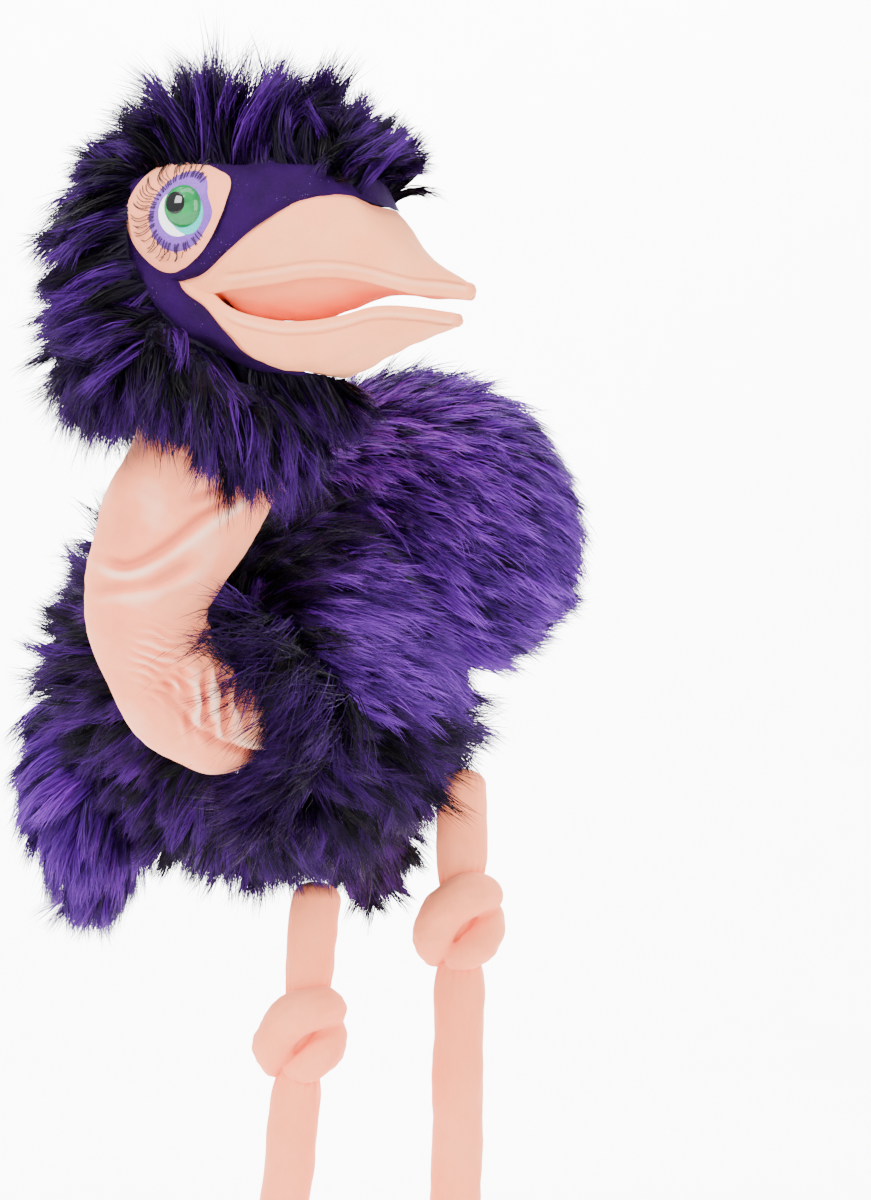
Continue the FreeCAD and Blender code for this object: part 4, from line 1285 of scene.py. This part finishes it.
def make_hood():
    solids = [ball(from_head(c), np.array(r) * MM * 0.985, HEAD_AXES.T, rows=40, cols=56) for c, r in HOOD]
    skin = melt("hood_backing", solids, 0.0035, 8)
    points, _ = read_points(skin)
    local = to_head(points)
    inside = np.clip(local[:, 0], -36, 96)
    wide = side_y(inside, np.clip(local[:, 2], -4, 76))
    front = (local[:, 0] > -34) & (local[:, 2] < 70)
    local[:, 1] = np.where(front, np.clip(local[:, 1], -wide + 3.5, wide - 3.5), local[:, 1])
    clear_of_mouth = np.interp(local[:, 2], [-60, -44, -30, 0, 10, 22], [40, 18, 2, 2, 8, 110])
    local[:, 0] = np.minimum(local[:, 0], clear_of_mouth)
    write_points(skin, from_head(local))
    dress(skin, BACKING, "head", ["head_fur_hood"])

    roots, normals = hood_roots(150000, 131)
    keep = ~on_face(roots) & (roots[:, 2] > -44) & (roots[:, 0] < 92)
    roots, normals = roots[keep], normals[keep]
    crest = roots[:, 2] > 62 - 0.25 * np.clip(-roots[:, 0] - 30, 0, 60)
    side = ~crest & (roots[:, 1] < 0)
    other = ~crest & (roots[:, 1] >= 0)
    back = np.clip((20 - roots[:, 0]) / 60, 0, 1)
    crest_flow = np.stack([-0.75 * back + 0.10 * (1 - back), 0.0 * back, 0.55 - 0.35 * back], -1)
    ahead = step(0.0, 0.6, normals[:, 0])
    side_flow = np.stack([-0.85 * (1 - ahead), 0.0 * back, -0.35 - 0.65 * ahead], -1)
    roots[:, 0] += 0.2 * np.clip(roots[:, 0] - 60, 0, 40)
    over_face = (roots[:, 0] > -30) & (roots[:, 2] > 40)
    reach = side_y(np.clip(roots[:, 0], -36, 96), np.clip(roots[:, 2], -4, 76)) + 0.6
    wide = np.where(over_face, np.maximum(np.abs(roots[:, 1]), reach * step(80, 72, roots[:, 2])), 0)
    roots[:, 1] = np.where(over_face, np.sign(roots[:, 1]) * wide, roots[:, 1])
    tall = np.exp(-(((roots[:, 0] - 22) / 30) ** 2))
    groups = (
        ("crest", crest, crest_flow, 0.048 + 0.041 * tall, 0.62, 0.04),
        ("side_right", side, side_flow, 0.060 + 0 * back, 0.46, 0.32),
        ("side_left", other, side_flow, 0.060 + 0 * back, 0.46, 0.32),
    )
    for i, (place, mask, flow, length, lift, droop) in enumerate(groups):
        picked = thinned(np.flatnonzero(mask))
        n = unit(normals[picked] @ HEAD_AXES)
        way = tangent(flow[picked] @ HEAD_AXES + 0.25 * n, n)
        piece = grow(f"hood_fur_{place}", from_head(roots[picked]), n, way, length[picked], 140 + i, lock=60,
                     lift=lift, droop=droop, width=0.0011, spread=0.4)
        dress(piece, LONG_FUR, "head")


def make_forelock():
    """The front of the crest, on the rounded end of the dark velour."""
    rng = np.random.default_rng(145)
    count = 7000
    x = rng.uniform(76, 101, count)
    points = upper_skin(x, rng.uniform(0.33, 0.67, count))
    normals = unit(np.stack([np.full(count, 0.55), points[:, 1] / 60, np.full(count, 0.75)], -1))
    n = unit(normals @ HEAD_AXES)
    flow = tangent(np.array([0.45, 0.0, 0.5]) + 0 * n, n)
    piece = grow("hood_fur_forelock", from_head(points), n, flow, 0.046, 146, lock=60, lift=0.62, droop=0.06,
                 width=0.0011, spread=0.5)
    dress(piece, LONG_FUR, "head")


def make_ruff():
    """The long pile that hangs from the head over the top of the neck."""
    rng = np.random.default_rng(151)
    count = 40000
    turn = rng.uniform(0, 2 * math.pi, count)
    drop = rng.uniform(0, 1, count)
    reach = 1 + 0.16 * np.sin(drop * math.pi)
    x = -9 + 54 * reach * np.cos(turn)
    y = 54 * reach * np.sin(turn)
    z = -22 - 24 * drop - 36 * step(-16, 36, x)
    roots = np.stack([x, y, z], -1)
    normals = unit(np.stack([np.cos(turn), np.sin(turn), -0.15 - 0.3 * drop], -1))
    keep = z < np.interp(x, *zip(*FACE_EDGE)) - 1 - 6 * rng.uniform(0, 1, count)
    roots, normals = roots[keep], normals[keep]
    n = unit(normals @ HEAD_AXES)
    flow = unit(n * (0.42, 0.15, 0.42) + DOWN)
    right = roots[:, 1] < 0
    for i, mask in enumerate((right, ~right)):
        mask = thinned(np.flatnonzero(mask))
        length = 0.054 + 0.022 * rng.uniform(0, 1, len(mask)) ** 6
        way = tangent(flow[mask], n[mask])
        piece = grow(f"ruff_fur_{i + 1}", from_head(roots[mask]), n[mask], way, length, 152 + i, lock=45,
                     lift=0.30, droop=0.70, width=0.001, spread=0.5)
        dress(piece, LONG_FUR, "head", ["ruff_fur"] if i == 0 else ())


def make_chin():
    """Pile on the underside of the lower beak, behind its seam."""
    rng = np.random.default_rng(161)
    count = 26000
    x = rng.uniform(-2, 76, count)
    s = rng.uniform(0.16, 0.84, count)
    points = lower_skin(x, s)
    low = np.interp(points[:, 0], *zip(*FACE_EDGE))
    points = points[points[:, 2] < low + 0.5]
    normals = unit(np.stack([0 * points[:, 0], points[:, 1], np.full(len(points), -22.0)], -1))
    n = unit(normals @ HEAD_AXES)
    flow = tangent(np.array([0.25, 0.0, -0.6]) + 0 * n, n)
    piece = grow("chin_tuft", from_head(points), n, flow, 0.044, 162, lock=40, lift=0.4, droop=0.7,
                 width=0.001)
    dress(piece, LONG_FUR, "jaw", ["chin_fur"])


# ---- legs -------------------------------------------------------------------------------------------------
LEG_R = 15.6
KNOT_DROP = 88.0                       # from the hip to the middle of the knot
FOOT_DROOP = 64                        # how far a foot hangs down from level, in degrees
TOE_TURNS = (-26, 0, 26)               # where the toes point, in degrees


def leg_frame(side):
    """A leg's axes: across it, away from the camera and up it, with its joints."""
    hip, knee, ankle = (pivot(f"{joint}_{side}") for joint in ("hip", "knee", "ankle"))
    up = unit(hip - knee)
    across = unit(np.cross([0.0, 1.0, 0.0], up))
    return hip, knee, ankle, np.array([across, np.cross(up, across), up])


def jersey_tube(name, start, end, axes, pinch_start, pinch_end, seed, round_start=0.0, round_end=0.0):
    """A stuffed jersey tube with gathers where a knot or a seam pinches it."""
    length = np.linalg.norm(end - start) / MM
    rows, cols = int(length * 1.6), 140
    share = np.linspace(0, 1, rows)[:, None]
    turn = full_turn(cols)[None, :]
    along = share * length
    near = pinch_start * np.exp(-((along / 15) ** 2)) + pinch_end * np.exp(-(((length - along) / 15) ** 2))
    ring = np.stack([np.cos(turn) * 20 + 0 * along, np.sin(turn) * 20 + 0 * along, along + 0 * turn], -1)
    flat = ring.reshape(-1, 3)
    wave = (0.55 * ripple(flat, 44, seed) + 0.2 * ripple(flat, 15, seed + 1)).reshape(along.shape[0], cols)
    gathers = np.sin(turn * 13 + 2 * np.sin(turn * 3 + seed) + along * 0.05)
    radius = LEG_R * (1 - 0.30 * near) + wave + gathers * 1.5 * near
    for inside, rounding in ((along, round_start), (length - along, round_end)):
        if rounding:
            radius = radius * np.sqrt(np.clip(1 - np.clip(1 - inside / rounding, 0, 1) ** 2, 0.0004, 1))
    centre = start + (end - start) * share[..., None]
    out = np.cos(turn)[..., None] * axes[0] + np.sin(turn)[..., None] * axes[1]
    points, faces = capped(centre + out * radius[..., None] * MM)
    return face_out(solid_mesh(name, points, faces), (start + end) / 2)


def bent_band(points, radii, axes, middle, flatten=0.8):
    """A fat bent roll of cloth through points given across, away from the camera and up a leg."""
    share = np.linspace(0, 1, len(points))
    fine = np.linspace(0, 1, 40)
    path = middle + curve(share, np.array(points, float), fine) * (1.0, 1.0, 1.2) * MM @ axes
    radius = curve(share, radii, fine) * MM
    grid = sweep(path, radius, 28, up=axes[2])
    grid = path[:, None, :] + (grid - path[:, None, :]) * flatten ** 0.5
    return capped(grid)


def make_knot(side, axes, hip, seed):
    """Two fat rolls of jersey that cross, as an overhand knot shows them from the front."""
    middle = hip - axes[2] * KNOT_DROP * MM
    over = [(-14, 6, -20), (-17, -8, -8), (-10, -15, 6), (4, -15, 14), (14, -5, 14), (15, 8, 6)]
    under = [(-6, -6, -20), (6, -12, -15), (15, -8, -7), (15, 6, 4), (4, 14, 8), (-10, 12, 2)]
    behind = [(-14, 4, 12), (-4, 12, -4), (8, 10, -14), (-2, 2, -20)]
    core = [(0, 0, 22), (0, 2, 8), (0, 2, -8), (0, 0, -24)]
    solids = [
        bent_band(over, [9, 14, 15.5, 15.5, 13, 8], axes, middle),
        bent_band(under, [8, 12, 13, 12, 10, 8], axes, middle),
        bent_band(behind, [9, 11, 11, 8], axes, middle),
        bent_band(core, [10, 13, 13, 10], axes, middle),
    ]
    knot = melt(f"knee_knot_cloth_{side}", solids, 0.0011, 2)
    points, normals = read_points(knot)
    local = (points - middle) @ axes.T / MM
    lift = 0.5 * ripple(local, 19, seed) + 0.18 * ripple(local, 7, seed + 1)
    write_points(knot, points + normals * lift[:, None] * MM)
    dress(knot, LEG, f"upper_leg_{side}", [f"knee_knot_{side}"])


def make_foot(side, seed):
    """A flat padded foot with three toes, hanging from its ankle."""
    _, _, ankle, axes = leg_frame(side)
    place = axes.T @ turned((1, 0, 0), FOOT_DROOP)
    pads = [((0, -14, -10), (24, 31, 13)), ((0, -2, -4), (17, 19, 13))]
    solids = [ball(ankle + place @ (np.array(c) * MM), np.array(r) * MM, place) for c, r in pads]
    for angle in TOE_TURNS:
        fan = turned((0, 0, 1), angle)
        centre = np.array([0, -8, 0]) + fan @ np.array([0, -44, -12])
        solids.append(ball(ankle + place @ (centre * MM), np.array([10.5, 27, 9.5]) * MM, place @ fan))
    foot = melt(f"foot_cloth_{side}", solids, 0.0012, 6)
    points, normals = read_points(foot)
    local = (points - ankle) @ place / MM
    lift = 0.5 * ripple(local, 24, seed) + 0.2 * ripple(local, 9, seed + 1)
    lift += groove(local[:, 2] + 11.0, 1.1, 0.9)
    write_points(foot, points + normals * lift[:, None] * MM)
    dress(foot, LEG, f"foot_{side}", [f"foot_{side}"])


def make_leg(side, seed):
    hip, knee, ankle, axes = leg_frame(side)
    up = axes[2] * MM
    thigh = jersey_tube(f"thigh_cloth_{side}", hip + up * 6, hip - up * 74, axes, 0.2, 1.0, seed,
                        round_start=10)
    dress(thigh, LEG, f"upper_leg_{side}", [f"thigh_{side}"])
    make_knot(side, axes, hip, seed + 4)
    shin = jersey_tube(f"shin_cloth_{side}", knee + up * 16, ankle + up * 2, axes, 1.0, 0.5, seed + 8,
                       round_end=8)
    dress(shin, LEG, f"lower_leg_{side}", [f"shin_{side}"])
    make_foot(side, seed + 12)


# ---- CAD pieces that keep their shape ---------------------------------------------------------------------
def finish_cad_pieces():
    kept = {
        "finger_pocket": LINING,
        "thumb_pocket": LINING,
        "upper_mouth_board": BOARD,
        "lower_mouth_board": BOARD,
        "eye_washer_right": WASHER,
        "eye_washer_left": WASHER,
        "foot_pellets_right": BEADS,
        "foot_pellets_left": BEADS,
    }
    for node, material in kept.items():
        for material_slot in bpy.data.objects[node].material_slots:
            material_slot.material = material


# ---- studio -----------------------------------------------------------------------------------------------
FLOOR_Z = -0.475
AIM = Vector((0.109, -0.10, 0.068))    # the middle of the picture


def make_studio():
    """A pale seamless floor and background, big soft lights and a camera level with the puppet."""
    bend = [(-3.2, FLOOR_Z), (2.2, FLOOR_Z)]
    for a in np.linspace(0.1, math.pi / 2, 14):
        bend.append((2.2 + 0.9 * math.sin(a), FLOOR_Z + 0.9 - 0.9 * math.cos(a)))
    bend.append((3.1, 4.0))
    points = [(x, y, z) for y, z in bend for x in (-6.0, 6.0)]
    faces = [(2 * i, 2 * i + 1, 2 * i + 3, 2 * i + 2) for i in range(len(bend) - 1)]
    floor = solid_mesh("studio_floor", points, faces)
    paper = plain_cloth("seamless paper", srgb(243, 243, 243), srgb(247, 247, 247), 8.0, 0.9)
    floor.data.materials.append(paper)

    def light(name, place, aim, size, watts):
        lamp = bpy.data.lights.new(name, "AREA")
        lamp.shape = "RECTANGLE"
        lamp.size, lamp.size_y = size
        lamp.energy = watts
        item = bpy.data.objects.new(name, lamp)
        bpy.context.scene.collection.objects.link(item)
        item.location = place
        item.rotation_euler = (Vector(aim) - Vector(place)).to_track_quat("-Z", "Y").to_euler()

    light("key window", (-1.3, -2.0, 1.5), AIM, (1.1, 1.3), 128.0)
    light("fill", (1.7, -1.9, 0.5), AIM, (1.4, 1.6), 54.0)
    light("top", (0.1, -0.3, 2.2), AIM, (1.8, 1.8), 52.0)
    light("background", (0.0, 0.9, 1.9), (0.0, 3.0, 0.3), (4.0, 1.6), 900.0)
    world = bpy.data.worlds.new("studio air")
    world.use_nodes = True
    world.node_tree.nodes["Background"].inputs["Color"].default_value = (1.0, 1.0, 1.0, 1.0)
    world.node_tree.nodes["Background"].inputs["Strength"].default_value = 1.05
    bpy.context.scene.world = world

    camera = bpy.data.cameras.new("camera")
    camera.lens = 129.0
    camera.sensor_fit = "VERTICAL"
    camera.sensor_height = 36.0
    item = bpy.data.objects.new("camera", camera)
    bpy.context.scene.collection.objects.link(item)
    item.location = (AIM.x, -0.25 - 2.5, AIM.z)
    item.rotation_euler = (math.radians(90), 0.0, 0.0)
    bpy.context.scene.camera = item


make_body()
make_tail()
make_wings()
make_cuff()
make_sleeve()
make_elastic()
make_label()
make_neck()
make_hood()
make_forelock()
make_head()
make_jaw()
make_ruff()
make_chin()
for is_left in (False, True):
    make_eye(is_left)
make_leg("right", 171)
make_leg("left", 191)
finish_cad_pieces()
make_studio()
